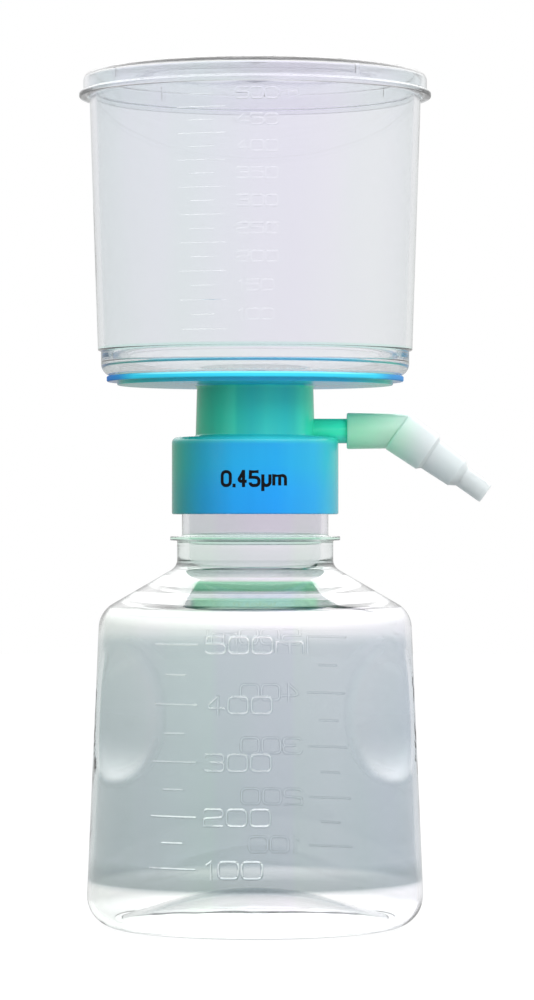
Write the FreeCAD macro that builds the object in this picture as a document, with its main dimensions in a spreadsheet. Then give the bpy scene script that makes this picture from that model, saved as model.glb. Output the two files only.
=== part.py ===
import math
import os
import sys
from types import SimpleNamespace

import FreeCAD
import Part
import Sketcher

# Vacuum filtration unit: a clear receiver bottle, a filter base that screws on its neck, a clear
# cup welded on the base, a loose lid, and a stepped hose adapter that turns on the vacuum stub.
#
# Frame: millimetres, +Z up, origin at the centre of the bottle's resting ring, and the vacuum
# stub points along +X. Heights stack up from the bottle: its lip carries the seal, the seal
# carries the base, and the base carries the cup and the lid.

# ---------------------------------------------------------------- driving sizes (millimetres)

SIZES = {
    # receiver bottle
    "foot_radius": 48.6,
    "foot_round": 9.0,
    "rest_ring_width": 1.0,
    "floor_rise": 9.3,
    "body_taper": 3.9,
    "shoulder_height": 90.2,
    "shoulder_round": 8.0,
    "cone_rise": 12.9,
    "neck_base_swell": 1.4,
    "neck_base_round": 3.5,
    "carry_ring_reach": 3.4,
    "carry_ring_lift": 7.5,
    "carry_ring_thickness": 1.2,
    "neck_radius": 21.0,
    "neck_length": 23.8,
    "bottle_wall": 1.5,
    "neck_wall": 1.9,
    # finger dents in the bottle
    "dent_drop": 27.7,
    "dent_depth": 4.6,
    "dent_azimuth": 60.0,
    "dent_tool_depth": 5.6,
    "dent_tool_width": 34.0,
    "dent_tool_height": 18.6,
    # filter base: collar, roof, neck tube, spout and flange
    "collar_wall": 1.3,
    "thread_room": 1.6,
    "collar_depth": 19.1,
    "collar_round": 1.6,
    "roof_thickness": 3.0,
    "tube_foot_radius": 17.1,
    "tube_taper": 0.4,
    "tube_height": 15.9,
    "tube_wall": 1.5,
    "tube_roof": 1.7,
    "spout_radius": 5.6,
    "spout_wall": 1.6,
    "spout_reach": 16.2,
    "flange_reach": 3.0,
    "flange_thickness": 1.5,
    "deck_depth": 1.0,
    "platform_radius": 39.6,
    "platform_rise": 1.4,
    "platform_rim": 1.95,
    "dish_ledge": 2.0,
    "dish_gap": 0.5,
    "dish_fall": 0.8,
    "rib_count": 12,
    "rib_width": 1.0,
    "rib_root": 0.4,
    # vacuum stub and its plug
    "stub_rise": 1.8,
    "stub_radius": 3.55,
    "stub_bore_radius": 2.2,
    "stub_in_sleeve": 11.7,
    "plug_length": 7.0,
    "plug_depth": 3.0,
    # seal, support, membrane
    "seal_thickness": 1.6,
    "seal_margin": 0.5,
    "support_thickness": 0.9,
    "hole_radius": 1.4,
    "hole_pitch": 5.6,
    "hole_rings": 5,
    "first_ring_holes": 6,
    "membrane_thickness": 0.2,
    "membrane_margin": 0.6,
    # filter cup
    "clamp_ring_thickness": 1.6,
    "clamp_overlap": 0.7,
    "skirt_reach": 4.6,
    "skirt_height": 7.4,
    "skirt_round": 3.6,
    "step_reach": 0.9,
    "cup_flare": 2.6,
    "cup_height": 85.5,
    "cup_wall": 1.7,
    # lid
    "lid_thickness": 1.4,
    "lid_wall": 1.25,
    "lid_skirt": 5.6,
    "lid_round": 2.2,
    "bead_reach": 1.2,
    "bead_height": 1.6,
    "nub_count": 4,
    "nub_azimuth": -54.0,
    "nub_width": 1.2,
    "nub_height": 3.2,
    "nub_reach": 0.25,
    "gate_radius": 6.7,
    "gate_depth": 0.7,
    "gate_boss": 0.6,
    # hose adapter
    "sleeve_gap": 2.4,
    "sleeve_wall": 1.57,
    "sleeve_taper": 0.3,
    "sleeve_length": 14.4,
    "elbow_angle": 35.0,
    "first_step_length": 10.7,
    "first_step_radius": 6.12,
    "first_step_end_radius": 5.8,
    "step_slope": 1.0,
    "second_step_radius": 4.75,
    "second_step_length": 9.1,
    "second_step_end_radius": 4.4,
    "tip_slope": 2.0,
    "tip_radius": 3.1,
    "tip_length": 8.3,
    "adapter_bore_radius": 1.9,
    # clearances
    "seat_clearance": 0.2,
    "support_clearance": 0.15,
    "plug_clearance": 0.05,
    "swivel_clearance": 0.08,
    "lid_clearance": 0.35,
}

SHEET_NAME = "Sizes"
OVERSHOOT = 1.0  # how far a cutting solid runs past the face that it cuts


class Size:
    """A number together with the spreadsheet expression that gives it."""

    def __init__(self, value, text):
        self.value = value
        self.text = text

    def combined(self, sign, other, value):
        other_text = other.text if isinstance(other, Size) else repr(other)
        return Size(value, f"({self.text} {sign} {other_text})")

    def __add__(self, other):
        return self.combined("+", other, self.value + number(other))

    def __sub__(self, other):
        return self.combined("-", other, self.value - number(other))

    def __mul__(self, other):
        return self.combined("*", other, self.value * number(other))

    def __truediv__(self, other):
        return self.combined("/", other, self.value / number(other))

    def __neg__(self):
        return Size(-self.value, f"(-1 * {self.text})")


def number(thing):
    """The plain number of a Size, or of a number."""
    return thing.value if isinstance(thing, Size) else float(thing)


def sine(angle):
    return Size(math.sin(math.radians(angle.value)), f"sin({angle.text} * 1 deg)")


def cosine(angle):
    return Size(math.cos(math.radians(angle.value)), f"cos({angle.text} * 1 deg)")


def square_root(size):
    return Size(math.sqrt(size.value), f"sqrt({size.text})")


# ---------------------------------------------------------------- document and spreadsheet

doc = FreeCAD.newDocument("vacuum_filtration_unit")


def make_sheet():
    """Put every driving size in the spreadsheet and return them as Size values by name."""
    sheet = doc.addObject("Spreadsheet::Sheet", SHEET_NAME)
    for row, (name, value) in enumerate(SIZES.items(), start=1):
        sheet.set(f"A{row}", name)
        sheet.set(f"B{row}", repr(value))
        sheet.setAlias(f"B{row}", name)
    doc.recompute()
    return SimpleNamespace(**{name: Size(value, f"{SHEET_NAME}.{name}") for name, value in SIZES.items()})


size = make_sheet()

# ---------------------------------------------------------------- stacked heights and shared radii

# the bottle's outline from its foot to its lip
rest_ring_inner_radius = size.foot_radius - size.foot_round - size.rest_ring_width
shoulder_radius = size.foot_radius - size.body_taper
neck_base_radius = size.neck_radius + size.neck_base_swell
neck_base_height = size.shoulder_height + size.cone_rise
carry_ring_radius = size.neck_radius + size.carry_ring_reach
carry_ring_bottom = neck_base_height + size.carry_ring_lift
carry_ring_top = carry_ring_bottom + size.carry_ring_thickness
lip_height = carry_ring_top + size.neck_length
dent_height = size.shoulder_height - size.dent_drop

# the bottle's cone, its neck bore and the drop that keeps the cone's wall even
cone_slope = size.cone_rise / (shoulder_radius - neck_base_radius)
cone_drop = size.bottle_wall * square_root(cone_slope * cone_slope + 1)
neck_bore_radius = size.neck_radius - size.neck_wall

# the base sits on the seal, and the seal on the bottle's lip
roof_height = lip_height + size.seal_thickness
collar_top = roof_height + size.roof_thickness
collar_bottom = roof_height - size.collar_depth
collar_bore_radius = size.neck_radius + size.thread_room
collar_radius = collar_bore_radius + size.collar_wall
tube_top_radius = size.tube_foot_radius - size.tube_taper
tube_bore_radius = tube_top_radius - size.tube_wall
spout_bore_radius = size.spout_radius - size.spout_wall

# the flange carries the platform, and the platform's recess takes the support
flange_bottom = collar_top + size.tube_height
flange_top = flange_bottom + size.flange_thickness
flange_radius = size.platform_radius + size.flange_reach
deck_bottom = flange_bottom - size.deck_depth
platform_top = flange_top + size.platform_rise
recess_radius = size.platform_radius - size.platform_rim
support_radius = recess_radius - size.support_clearance
support_seat = platform_top - size.support_thickness
dish_radius = support_radius - size.dish_ledge

# the adapter's sleeve starts clear of the collar, and the stub reaches into it
stub_axis_height = collar_top + size.stub_rise
sleeve_start = collar_radius + size.sleeve_gap
stub_reach = sleeve_start + size.stub_in_sleeve
elbow_reach = sleeve_start + size.sleeve_length
socket_radius = size.stub_radius + size.swivel_clearance
sleeve_mouth_radius = socket_radius + size.sleeve_wall
sleeve_end_radius = sleeve_mouth_radius - size.sleeve_taper

# the cup's foot straddles the platform and presses on the membrane's edge
membrane_top = platform_top + size.membrane_thickness
clamp_top = membrane_top + size.clamp_ring_thickness
clamp_radius = support_radius - size.clamp_overlap
foot_bore_radius = size.platform_radius + size.seat_clearance
skirt_radius = size.platform_radius + size.skirt_reach
step_radius = skirt_radius + size.step_reach
cup_rim_radius = step_radius + size.cup_flare
step_height = flange_top + size.skirt_height
cup_top = flange_top + size.cup_height

# the lid rests on the cup's rim
lid_top = cup_top + size.lid_thickness
lid_bottom = cup_top - size.lid_skirt
lid_bore_radius = cup_rim_radius + size.lid_clearance
lid_radius = lid_bore_radius + size.lid_wall
bead_radius = lid_radius + size.bead_reach

# ---------------------------------------------------------------- building blocks


def bind(thing, path, length):
    """Bind one property of an object to the spreadsheet."""
    thing.setExpression(path, length.text)


def new_body(label):
    body = doc.addObject("PartDesign::Body", label)
    body.Label = label
    return body


def origin_feature(body, role):
    return next(item for item in body.Origin.OriginFeatures if item.Role == role)


def new_sketch(body, name, plane, lift=None):
    """A sketch on one of the body's own origin planes, lifted off it by a bound height."""
    sketch = body.newObject("Sketcher::SketchObject", name)
    sketch.AttachmentSupport = [(origin_feature(body, plane), "")]
    sketch.MapMode = "FlatFace"
    if lift is not None:
        sketch.AttachmentOffset = FreeCAD.Placement(FreeCAD.Vector(0, 0, lift.value), FreeCAD.Rotation())
        bind(sketch, "AttachmentOffset.Base.z", lift)
    return sketch


def constrain(sketch, kind, *references, length=None):
    """Add a constraint, bound to the spreadsheet where it has a length."""
    if length is None:
        sketch.addConstraint(Sketcher.Constraint(kind, *references))
        return
    index = sketch.addConstraint(Sketcher.Constraint(kind, *references, length.value))
    bind(sketch, f"Constraints[{index}]", length)


def arc_about_axis(start, end):
    """The arc between two points of an outline whose centre lies on the turning axis."""
    gap = end.x**2 - start.x**2 + end.y**2 - start.y**2
    middle = gap / (2 * (end.y - start.y))
    circle = Part.Circle(FreeCAD.Vector(0, middle, 0), FreeCAD.Vector(0, 0, 1), math.hypot(start.x, start.y - middle))
    first = math.atan2(end.y - middle, end.x)
    last = math.atan2(start.y - middle, start.x)
    return Part.ArcOfCircle(circle, first, last)


def outline_sketch(body, name, corners):
    """A closed outline in the XZ plane.

    Each corner is (radius, height), and radius None puts it on the axis and height None on the
    ground. A third item, "dome", makes the stretch to the next corner an arc about the axis.
    """
    sketch = new_sketch(body, name, "XZ_Plane")
    points = [FreeCAD.Vector(number(corner[0] or 0), number(corner[1] or 0), 0) for corner in corners]
    ends = []
    for index, corner in enumerate(corners):
        start = points[index]
        end = points[(index + 1) % len(points)]
        domed = len(corner) > 2
        sketch.addGeometry(arc_about_axis(start, end) if domed else Part.LineSegment(start, end))
        ends.append((2, 1) if domed else (1, 2))
    for index, corner in enumerate(corners):
        following = (index + 1) % len(corners)
        constrain(sketch, "Coincident", index, ends[index][1], following, ends[following][0])
        if len(corner) > 2:
            constrain(sketch, "PointOnObject", index, 3, -2)
    for index, corner in enumerate(corners):
        radius, height = corner[:2]
        at = ends[index][0]
        if radius is None:
            constrain(sketch, "PointOnObject", index, at, -2)
        else:
            constrain(sketch, "DistanceX", -1, 1, index, at, length=radius)
        if height is None:
            constrain(sketch, "PointOnObject", index, at, -1)
        else:
            constrain(sketch, "DistanceY", -1, 1, index, at, length=height)
    return sketch


def turned(body, name, corners):
    """A solid of revolution about Z from an outline."""
    sketch = outline_sketch(body, f"{name}_outline", corners)
    revolution = body.newObject("PartDesign::Revolution", name)
    revolution.Profile = sketch
    revolution.ReferenceAxis = (sketch, ["V_Axis"])
    revolution.Angle = 360
    sketch.Visibility = False
    doc.recompute()
    return revolution


def ring_edges(shape, rings):
    """Names of the circular edges about Z at the given (radius, height) places."""
    names = []
    for index, edge in enumerate(shape.Edges, start=1):
        if edge.Degenerated or not isinstance(edge.Curve, Part.Circle):
            continue
        curve = edge.Curve
        for radius, height in rings:
            if abs(curve.Radius - radius.value) < 1e-4 and abs(curve.Center.z - height.value) < 1e-4:
                names.append(f"Edge{index}")
    return names


def rounded(body, base, name, radius, rings):
    """Round the circular edges of a feature that lie at the given places."""
    edges = ring_edges(base.Shape, rings)
    if len(edges) != len(rings):
        raise RuntimeError(f"{name}: found {len(edges)} of {len(rings)} edges")
    fillet = body.newObject("PartDesign::Fillet", name)
    fillet.Base = (base, edges)
    fillet.Radius = radius.value
    bind(fillet, "Radius", radius)
    doc.recompute()
    return fillet


def around_axis(body, feature, name, count):
    """Repeat a feature evenly about Z."""
    pattern = body.newObject("PartDesign::PolarPattern", name)
    pattern.Originals = [feature]
    pattern.Axis = (origin_feature(body, "Z_Axis"), [""])
    pattern.Angle = 360
    pattern.Occurrences = int(number(count))
    if isinstance(count, Size):
        bind(pattern, "Occurrences", count)
    body.Tip = pattern
    doc.recompute()
    return pattern


def combined(kind, label, **links):
    """A Part boolean of other objects."""
    result = doc.addObject(kind, label)
    result.Label = label
    for link, value in links.items():
        setattr(result, link, value)
    doc.recompute()
    return result


# ---------------------------------------------------------------- receiver bottle


def dent_tools(prefix, growth):
    """Four ellipsoids that press the finger dents, larger by the wall for the inner face."""
    side_slope = size.body_taper / size.shoulder_height
    wall_radius = size.foot_radius - side_slope * dent_height
    reach = wall_radius + size.dent_tool_depth - size.dent_depth
    azimuths = (
        size.dent_azimuth,
        -size.dent_azimuth,
        -size.dent_azimuth + 180,
        size.dent_azimuth + 180,
    )
    tools = []
    for index, azimuth in enumerate(azimuths, start=1):
        tool = doc.addObject("Part::Ellipsoid", f"{prefix}_{index}")
        for name, length in (
            ("Radius1", size.dent_tool_height + growth),
            ("Radius2", size.dent_tool_depth + growth),
            ("Radius3", size.dent_tool_width + growth),
        ):
            setattr(tool, name, length.value)
            bind(tool, name, length)
        tool.Placement = FreeCAD.Placement(
            FreeCAD.Vector(0, 0, 0), FreeCAD.Rotation(FreeCAD.Vector(0, 0, 1), azimuth.value - 90)
        )
        bind(tool, "Placement.Rotation.Angle", (azimuth - 90) * Size(1, "1 deg"))
        bind(tool, "Placement.Base.x", reach * sine(azimuth))
        bind(tool, "Placement.Base.y", -(reach * cosine(azimuth)))
        bind(tool, "Placement.Base.z", dent_height)
        tools.append(tool)
    return combined("Part::MultiFuse", prefix, Shapes=tools)


def make_bottle():
    """Clear bottle with an even wall: an outer solid less an inner one, both dented."""
    outer = new_body("bottle_outer")
    shape = turned(
        outer,
        "bottle_outer_turn",
        [
            (None, size.floor_rise, "dome"),
            (rest_ring_inner_radius, None),
            (size.foot_radius, None),
            (shoulder_radius, size.shoulder_height),
            (neck_base_radius, neck_base_height),
            (neck_base_radius, carry_ring_bottom),
            (carry_ring_radius, carry_ring_bottom),
            (carry_ring_radius, carry_ring_top),
            (size.neck_radius, carry_ring_top),
            (size.neck_radius, lip_height),
            (None, lip_height),
        ],
    )
    ground = size.foot_radius * 0
    shape = rounded(outer, shape, "foot_rounding", size.foot_round, [(size.foot_radius, ground)])
    shape = rounded(
        outer, shape, "shoulder_rounding", size.shoulder_round, [(shoulder_radius, size.shoulder_height)]
    )
    rounded(
        outer, shape, "neck_base_rounding", size.neck_base_round, [(neck_base_radius, neck_base_height)]
    )

    inner = new_body("bottle_inner")
    floor = size.bottle_wall
    foot = (size.foot_radius - size.bottle_wall, floor)
    shoulder_drop = cone_slope * size.bottle_wall - cone_drop
    shoulder = (shoulder_radius - size.bottle_wall, size.shoulder_height + shoulder_drop)
    neck_step = cone_slope * (neck_base_radius - neck_bore_radius) - cone_drop
    neck = (neck_bore_radius, neck_base_height + neck_step)
    above_lip = lip_height + OVERSHOOT
    shape = turned(
        inner,
        "bottle_inner_turn",
        [
            (None, size.floor_rise + size.bottle_wall, "dome"),
            (rest_ring_inner_radius, floor),
            foot,
            shoulder,
            neck,
            (neck_bore_radius, above_lip),
            (None, above_lip),
        ],
    )
    shape = rounded(inner, shape, "inner_foot_rounding", size.foot_round - size.bottle_wall, [foot])
    shape = rounded(inner, shape, "inner_shoulder_rounding", size.shoulder_round - size.bottle_wall, [shoulder])
    rounded(inner, shape, "inner_neck_rounding", size.neck_base_round + size.bottle_wall, [neck])

    no_growth = size.bottle_wall * 0
    dented_outer = combined("Part::Cut", "dented_outer", Base=outer, Tool=dent_tools("outer_dents", no_growth))
    dented_inner = combined(
        "Part::Cut", "dented_inner", Base=inner, Tool=dent_tools("inner_dents", size.bottle_wall)
    )
    return combined("Part::Cut", "receiver_bottle", Base=dented_outer, Tool=dented_inner)


# ---------------------------------------------------------------- seal between bottle and base


def make_seal():
    body = new_body("neck_seal")
    bore = neck_bore_radius + size.seal_margin
    rim = collar_bore_radius - size.seal_margin
    turned(
        body,
        "seal_turn",
        [(bore, lip_height), (rim, lip_height), (rim, roof_height), (bore, roof_height)],
    )
    return body


# ---------------------------------------------------------------- filter base


def make_base():
    """One moulding: collar, roof, neck tube with the spout inside, flange, dish and stub."""
    body = new_body("filter_base")
    tube_roof_height = flange_bottom - size.tube_roof
    spout_tip = roof_height - size.spout_reach
    dish_edge = support_seat - size.dish_gap
    dish_throat = dish_edge - size.dish_fall
    shape = turned(
        body,
        "base_turn",
        [
            (spout_bore_radius, spout_tip),
            (spout_bore_radius, dish_throat),
            (dish_radius, dish_edge),
            (dish_radius, support_seat),
            (recess_radius, support_seat),
            (recess_radius, platform_top),
            (size.platform_radius, platform_top),
            (size.platform_radius, flange_top),
            (flange_radius, flange_top),
            (flange_radius, flange_bottom),
            (size.platform_radius, flange_bottom),
            (size.platform_radius, deck_bottom),
            (tube_top_radius, deck_bottom),
            (size.tube_foot_radius, collar_top),
            (collar_radius, collar_top),
            (collar_radius, collar_bottom),
            (collar_bore_radius, collar_bottom),
            (collar_bore_radius, roof_height),
            (tube_bore_radius, roof_height),
            (tube_bore_radius, tube_roof_height),
            (size.spout_radius, tube_roof_height),
            (size.spout_radius, spout_tip),
        ],
    )
    rounded(body, shape, "collar_rounding", size.collar_round, [(collar_radius, collar_top)])

    stub = body.newObject("PartDesign::AdditiveCylinder", "vacuum_stub")
    stub_root = (tube_bore_radius + tube_top_radius) / 2
    place_along_x(stub, size.stub_radius, stub_root, stub_reach, stub_axis_height)
    bore = body.newObject("PartDesign::SubtractiveCylinder", "stub_bore")
    bore_root = (size.spout_radius + tube_bore_radius) / 2
    place_along_x(bore, size.stub_bore_radius, bore_root, stub_reach + OVERSHOOT, stub_axis_height)

    rib_foot = flange_bottom + size.rib_root
    sketch = new_sketch(body, "rib_sketch", "XY_Plane", rib_foot)
    rib_start = spout_bore_radius + size.rib_width
    rib_end = (dish_radius + recess_radius) / 2
    rectangle(sketch, rib_start, -(size.rib_width / 2), rib_end, size.rib_width / 2)
    rib = body.newObject("PartDesign::Pad", "dish_rib")
    rib.Profile = sketch
    rib.Length = (support_seat - rib_foot).value
    bind(rib, "Length", support_seat - rib_foot)
    sketch.Visibility = False
    doc.recompute()
    around_axis(body, rib, "dish_ribs", size.rib_count)
    return body


def place_along_x(cylinder, radius, start, end, height):
    """Lay a cylinder along X from start to end at one height."""
    cylinder.Radius = radius.value
    bind(cylinder, "Radius", radius)
    cylinder.Height = (end - start).value
    bind(cylinder, "Height", end - start)
    cylinder.Placement = FreeCAD.Placement(
        FreeCAD.Vector(start.value, 0, height.value), FreeCAD.Rotation(FreeCAD.Vector(0, 1, 0), 90)
    )
    bind(cylinder, "Placement.Base.x", start)
    bind(cylinder, "Placement.Base.z", height)
    doc.recompute()


def rectangle(sketch, left, low, right, high):
    """A closed rectangle with its two opposite corners bound."""
    corners = [(left, low), (right, low), (right, high), (left, high)]
    points = [FreeCAD.Vector(across.value, up.value, 0) for across, up in corners]
    for index in range(4):
        sketch.addGeometry(Part.LineSegment(points[index], points[(index + 1) % 4]))
    for index in range(4):
        constrain(sketch, "Coincident", index, 2, (index + 1) % 4, 1)
        constrain(sketch, "Horizontal" if index % 2 == 0 else "Vertical", index)
    for index in (0, 2):
        constrain(sketch, "DistanceX", -1, 1, index, 1, length=corners[index][0])
        constrain(sketch, "DistanceY", -1, 1, index, 1, length=corners[index][1])


# ---------------------------------------------------------------- membrane and its support


def make_support():
    """Thin disc with rings of drain holes."""
    body = new_body("membrane_support")
    turned(
        body,
        "support_turn",
        [
            (None, support_seat),
            (support_radius, support_seat),
            (support_radius, platform_top),
            (None, platform_top),
        ],
    )
    for ring in range(1, SIZES["hole_rings"] + 1):
        distance = size.hole_pitch * ring
        sketch = new_sketch(body, f"hole_sketch_{ring}", "XY_Plane", support_seat - OVERSHOOT)
        centre = FreeCAD.Vector(distance.value, 0, 0)
        sketch.addGeometry(Part.Circle(centre, FreeCAD.Vector(0, 0, 1), size.hole_radius.value))
        constrain(sketch, "PointOnObject", 0, 3, -1)
        constrain(sketch, "DistanceX", -1, 1, 0, 3, length=distance)
        constrain(sketch, "Radius", 0, length=size.hole_radius)
        pocket = body.newObject("PartDesign::Pocket", f"hole_{ring}")
        pocket.Profile = sketch
        pocket.Reversed = True
        pocket.Length = (size.support_thickness + 2 * OVERSHOOT).value
        bind(pocket, "Length", size.support_thickness + 2 * OVERSHOOT)
        sketch.Visibility = False
        doc.recompute()
        around_axis(body, pocket, f"hole_ring_{ring}", size.first_ring_holes * ring)
    return body


def make_membrane():
    body = new_body("filter_membrane")
    edge = foot_bore_radius - size.membrane_margin
    turned(
        body,
        "membrane_turn",
        [(None, platform_top), (edge, platform_top), (edge, membrane_top), (None, membrane_top)],
    )
    return body


# ---------------------------------------------------------------- filter cup


def make_cup():
    """Clear cup, open below inside its clamp ring, with an outer step above the foot skirt."""
    body = new_body("filter_cup")
    skirt_inner = skirt_radius - size.cup_wall
    step_inner = step_radius - size.cup_wall
    rim_inner = cup_rim_radius - size.cup_wall
    shape = turned(
        body,
        "cup_turn",
        [
            (foot_bore_radius, flange_top),
            (skirt_radius, flange_top),
            (skirt_radius, step_height),
            (step_radius, step_height),
            (cup_rim_radius, cup_top),
            (rim_inner, cup_top),
            (step_inner, step_height),
            (skirt_inner, clamp_top),
            (clamp_radius, clamp_top),
            (clamp_radius, membrane_top),
            (foot_bore_radius, membrane_top),
        ],
    )
    rounded(body, shape, "skirt_rounding", size.skirt_round, [(skirt_radius, flange_top)])
    return body


# ---------------------------------------------------------------- lid


def make_lid():
    """Clear lid: a disc with a skirt, a bead at its lower edge, four nubs and a gate dimple."""
    body = new_body("cup_lid")
    bead_top = lid_bottom + size.bead_height
    gate_floor = lid_top - size.gate_depth
    gate_bottom = cup_top - size.gate_boss
    shape = turned(
        body,
        "lid_turn",
        [
            (None, gate_bottom),
            (size.gate_radius, gate_bottom),
            (size.gate_radius, cup_top),
            (lid_bore_radius, cup_top),
            (lid_bore_radius, lid_bottom),
            (bead_radius, lid_bottom),
            (bead_radius, bead_top),
            (lid_radius, bead_top),
            (lid_radius, lid_top),
            (size.gate_radius, lid_top),
            (None, gate_floor),
        ],
    )
    rounded(body, shape, "lid_rounding", size.lid_round, [(lid_radius, lid_top)])

    nub = body.newObject("PartDesign::AdditiveBox", "lid_nub")
    nub_start = lid_bore_radius - size.nub_reach
    nub_length = size.nub_reach + size.lid_wall / 2
    for name, length in (("Length", nub_length), ("Width", size.nub_width), ("Height", size.nub_height)):
        setattr(nub, name, length.value)
        bind(nub, name, length)
    turn = size.nub_azimuth - 90
    nub.Placement = FreeCAD.Placement(
        FreeCAD.Vector(0, 0, 0), FreeCAD.Rotation(FreeCAD.Vector(0, 0, 1), turn.value)
    )
    half_width = size.nub_width / 2
    bind(nub, "Placement.Rotation.Angle", turn * Size(1, "1 deg"))
    bind(nub, "Placement.Base.x", nub_start * cosine(turn) + half_width * sine(turn))
    bind(nub, "Placement.Base.y", nub_start * sine(turn) - half_width * cosine(turn))
    bind(nub, "Placement.Base.z", cup_top - size.nub_height + size.lid_thickness / 2)
    doc.recompute()
    around_axis(body, nub, "lid_nubs", size.nub_count)
    return body


# ---------------------------------------------------------------- plug in the stub


def make_plug():
    plug = doc.addObject("Part::Cylinder", "port_plug")
    plug.Label = "port_plug"
    end = stub_reach - size.plug_depth
    place_along_x(plug, size.stub_bore_radius - size.plug_clearance, end - size.plug_length, end, stub_axis_height)
    return plug


# ---------------------------------------------------------------- hose adapter


def place_on_arm(thing, distance):
    """Stand a primitive on the arm's axis, at a distance from the elbow's centre."""
    tilt = size.elbow_angle + 90
    thing.Placement = FreeCAD.Placement(
        FreeCAD.Vector(0, 0, 0), FreeCAD.Rotation(FreeCAD.Vector(0, 1, 0), tilt.value)
    )
    bind(thing, "Placement.Rotation.Angle", tilt * Size(1, "1 deg"))
    bind(thing, "Placement.Base.x", elbow_reach + distance * cosine(size.elbow_angle))
    bind(thing, "Placement.Base.z", stub_axis_height - distance * sine(size.elbow_angle))


def arm_cone(name, distance, length, start_radius, end_radius):
    cone = doc.addObject("Part::Cone", name)
    for field, value in (("Radius1", start_radius), ("Radius2", end_radius), ("Height", length)):
        setattr(cone, field, value.value)
        bind(cone, field, value)
    place_on_arm(cone, distance)
    return cone


def make_adapter():
    """Translucent elbow: a sleeve on the stub, then an arm with three steps for the hose."""
    sleeve = doc.addObject("Part::Cone", "adapter_sleeve")
    sleeve_end = elbow_reach + size.first_step_radius * sine(size.elbow_angle)
    for field, value in (
        ("Radius1", sleeve_mouth_radius),
        ("Radius2", sleeve_end_radius),
        ("Height", sleeve_end - sleeve_start),
    ):
        setattr(sleeve, field, value.value)
        bind(sleeve, field, value)
    sleeve.Placement = FreeCAD.Placement(FreeCAD.Vector(0, 0, 0), FreeCAD.Rotation(FreeCAD.Vector(0, 1, 0), 90))
    bind(sleeve, "Placement.Base.x", sleeve_start)
    bind(sleeve, "Placement.Base.z", stub_axis_height)

    nothing = size.first_step_length * 0
    second_start = size.first_step_length + size.step_slope
    tip_slope_start = second_start + size.second_step_length
    tip_start = tip_slope_start + size.tip_slope
    arm_length = tip_start + size.tip_length
    outside = [
        sleeve,
        arm_cone("arm_first", nothing, size.first_step_length, size.first_step_radius, size.first_step_end_radius),
        arm_cone(
            "arm_slope", size.first_step_length, size.step_slope, size.first_step_end_radius, size.second_step_radius
        ),
        arm_cone(
            "arm_second", second_start, size.second_step_length, size.second_step_radius, size.second_step_end_radius
        ),
        arm_cone("arm_tip_slope", tip_slope_start, size.tip_slope, size.second_step_end_radius, size.tip_radius),
        arm_cylinder("arm_tip", tip_start, size.tip_length, size.tip_radius),
    ]

    stub_room = doc.addObject("Part::Cylinder", "adapter_socket")
    socket_end = stub_reach + size.seat_clearance
    place_along_x(stub_room, socket_radius, sleeve_start - OVERSHOOT, socket_end, stub_axis_height)
    first_bore = doc.addObject("Part::Cylinder", "adapter_first_bore")
    place_along_x(first_bore, size.adapter_bore_radius, stub_reach, elbow_reach, stub_axis_height)
    knee = doc.addObject("Part::Sphere", "adapter_knee")
    knee.Radius = size.adapter_bore_radius.value
    bind(knee, "Radius", size.adapter_bore_radius)
    bind(knee, "Placement.Base.x", elbow_reach)
    bind(knee, "Placement.Base.z", stub_axis_height)
    arm_bore = arm_cylinder("adapter_arm_bore", nothing, arm_length + OVERSHOOT, size.adapter_bore_radius)

    solid = combined("Part::MultiFuse", "adapter_outside", Shapes=outside)
    bores = combined("Part::MultiFuse", "adapter_bores", Shapes=[stub_room, first_bore, knee, arm_bore])
    return combined("Part::Cut", "hose_adapter", Base=solid, Tool=bores)


def arm_cylinder(name, distance, length, radius):
    cylinder = doc.addObject("Part::Cylinder", name)
    for field, value in (("Radius", radius), ("Height", length)):
        setattr(cylinder, field, value.value)
        bind(cylinder, field, value)
    place_on_arm(cylinder, distance)
    return cylinder


# ---------------------------------------------------------------- check and export


def check(parts):
    """Stop if an object failed to compute or a sub-part is not one valid solid."""
    faults = [
        f"{item.Name}: {', '.join(item.State)}"
        for item in doc.Objects
        if {"Invalid", "Error"} & set(item.State)
    ]
    for part in parts:
        shape = part.Shape
        if shape.isNull() or not shape.isValid() or len(shape.Solids) != 1:
            faults.append(f"{part.Label}: not one valid solid")
    if faults:
        sys.exit("part.py stopped:\n" + "\n".join(faults))


def export(parts):
    os.makedirs("parts", exist_ok=True)
    for part in parts:
        part.Shape.exportStep(f"parts/{part.Label}.step")
        box = part.Shape.BoundBox
        print(
            f"{part.Label:18s} volume {part.Shape.Volume:10.1f}  "
            f"x {box.XMin:7.2f} {box.XMax:7.2f}  y {box.YMin:7.2f} {box.YMax:7.2f}  z {box.ZMin:7.2f} {box.ZMax:7.2f}"
        )


sub_parts = [
    make_bottle(),
    make_seal(),
    make_base(),
    make_support(),
    make_membrane(),
    make_cup(),
    make_lid(),
    make_plug(),
    make_adapter(),
]
doc.recompute()
check(sub_parts)
export(sub_parts)
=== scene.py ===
"""Vacuum filtration unit: the visible pieces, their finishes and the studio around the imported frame.

The unit is a clear graduated receiver bottle, a translucent blue filter base that screws on its
neck, a clear cup with a loose lid, and a milky stepped hose adapter on the base's vacuum stub.
Sizes are in millimetres, and meshes are written in metres in the frame's own axes.
"""

import logging
import math
from collections.abc import Callable, Iterable, Sequence
from dataclasses import dataclass, field, replace
from enum import Enum

import bmesh
import bpy
from mathutils import Matrix, Vector


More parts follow.
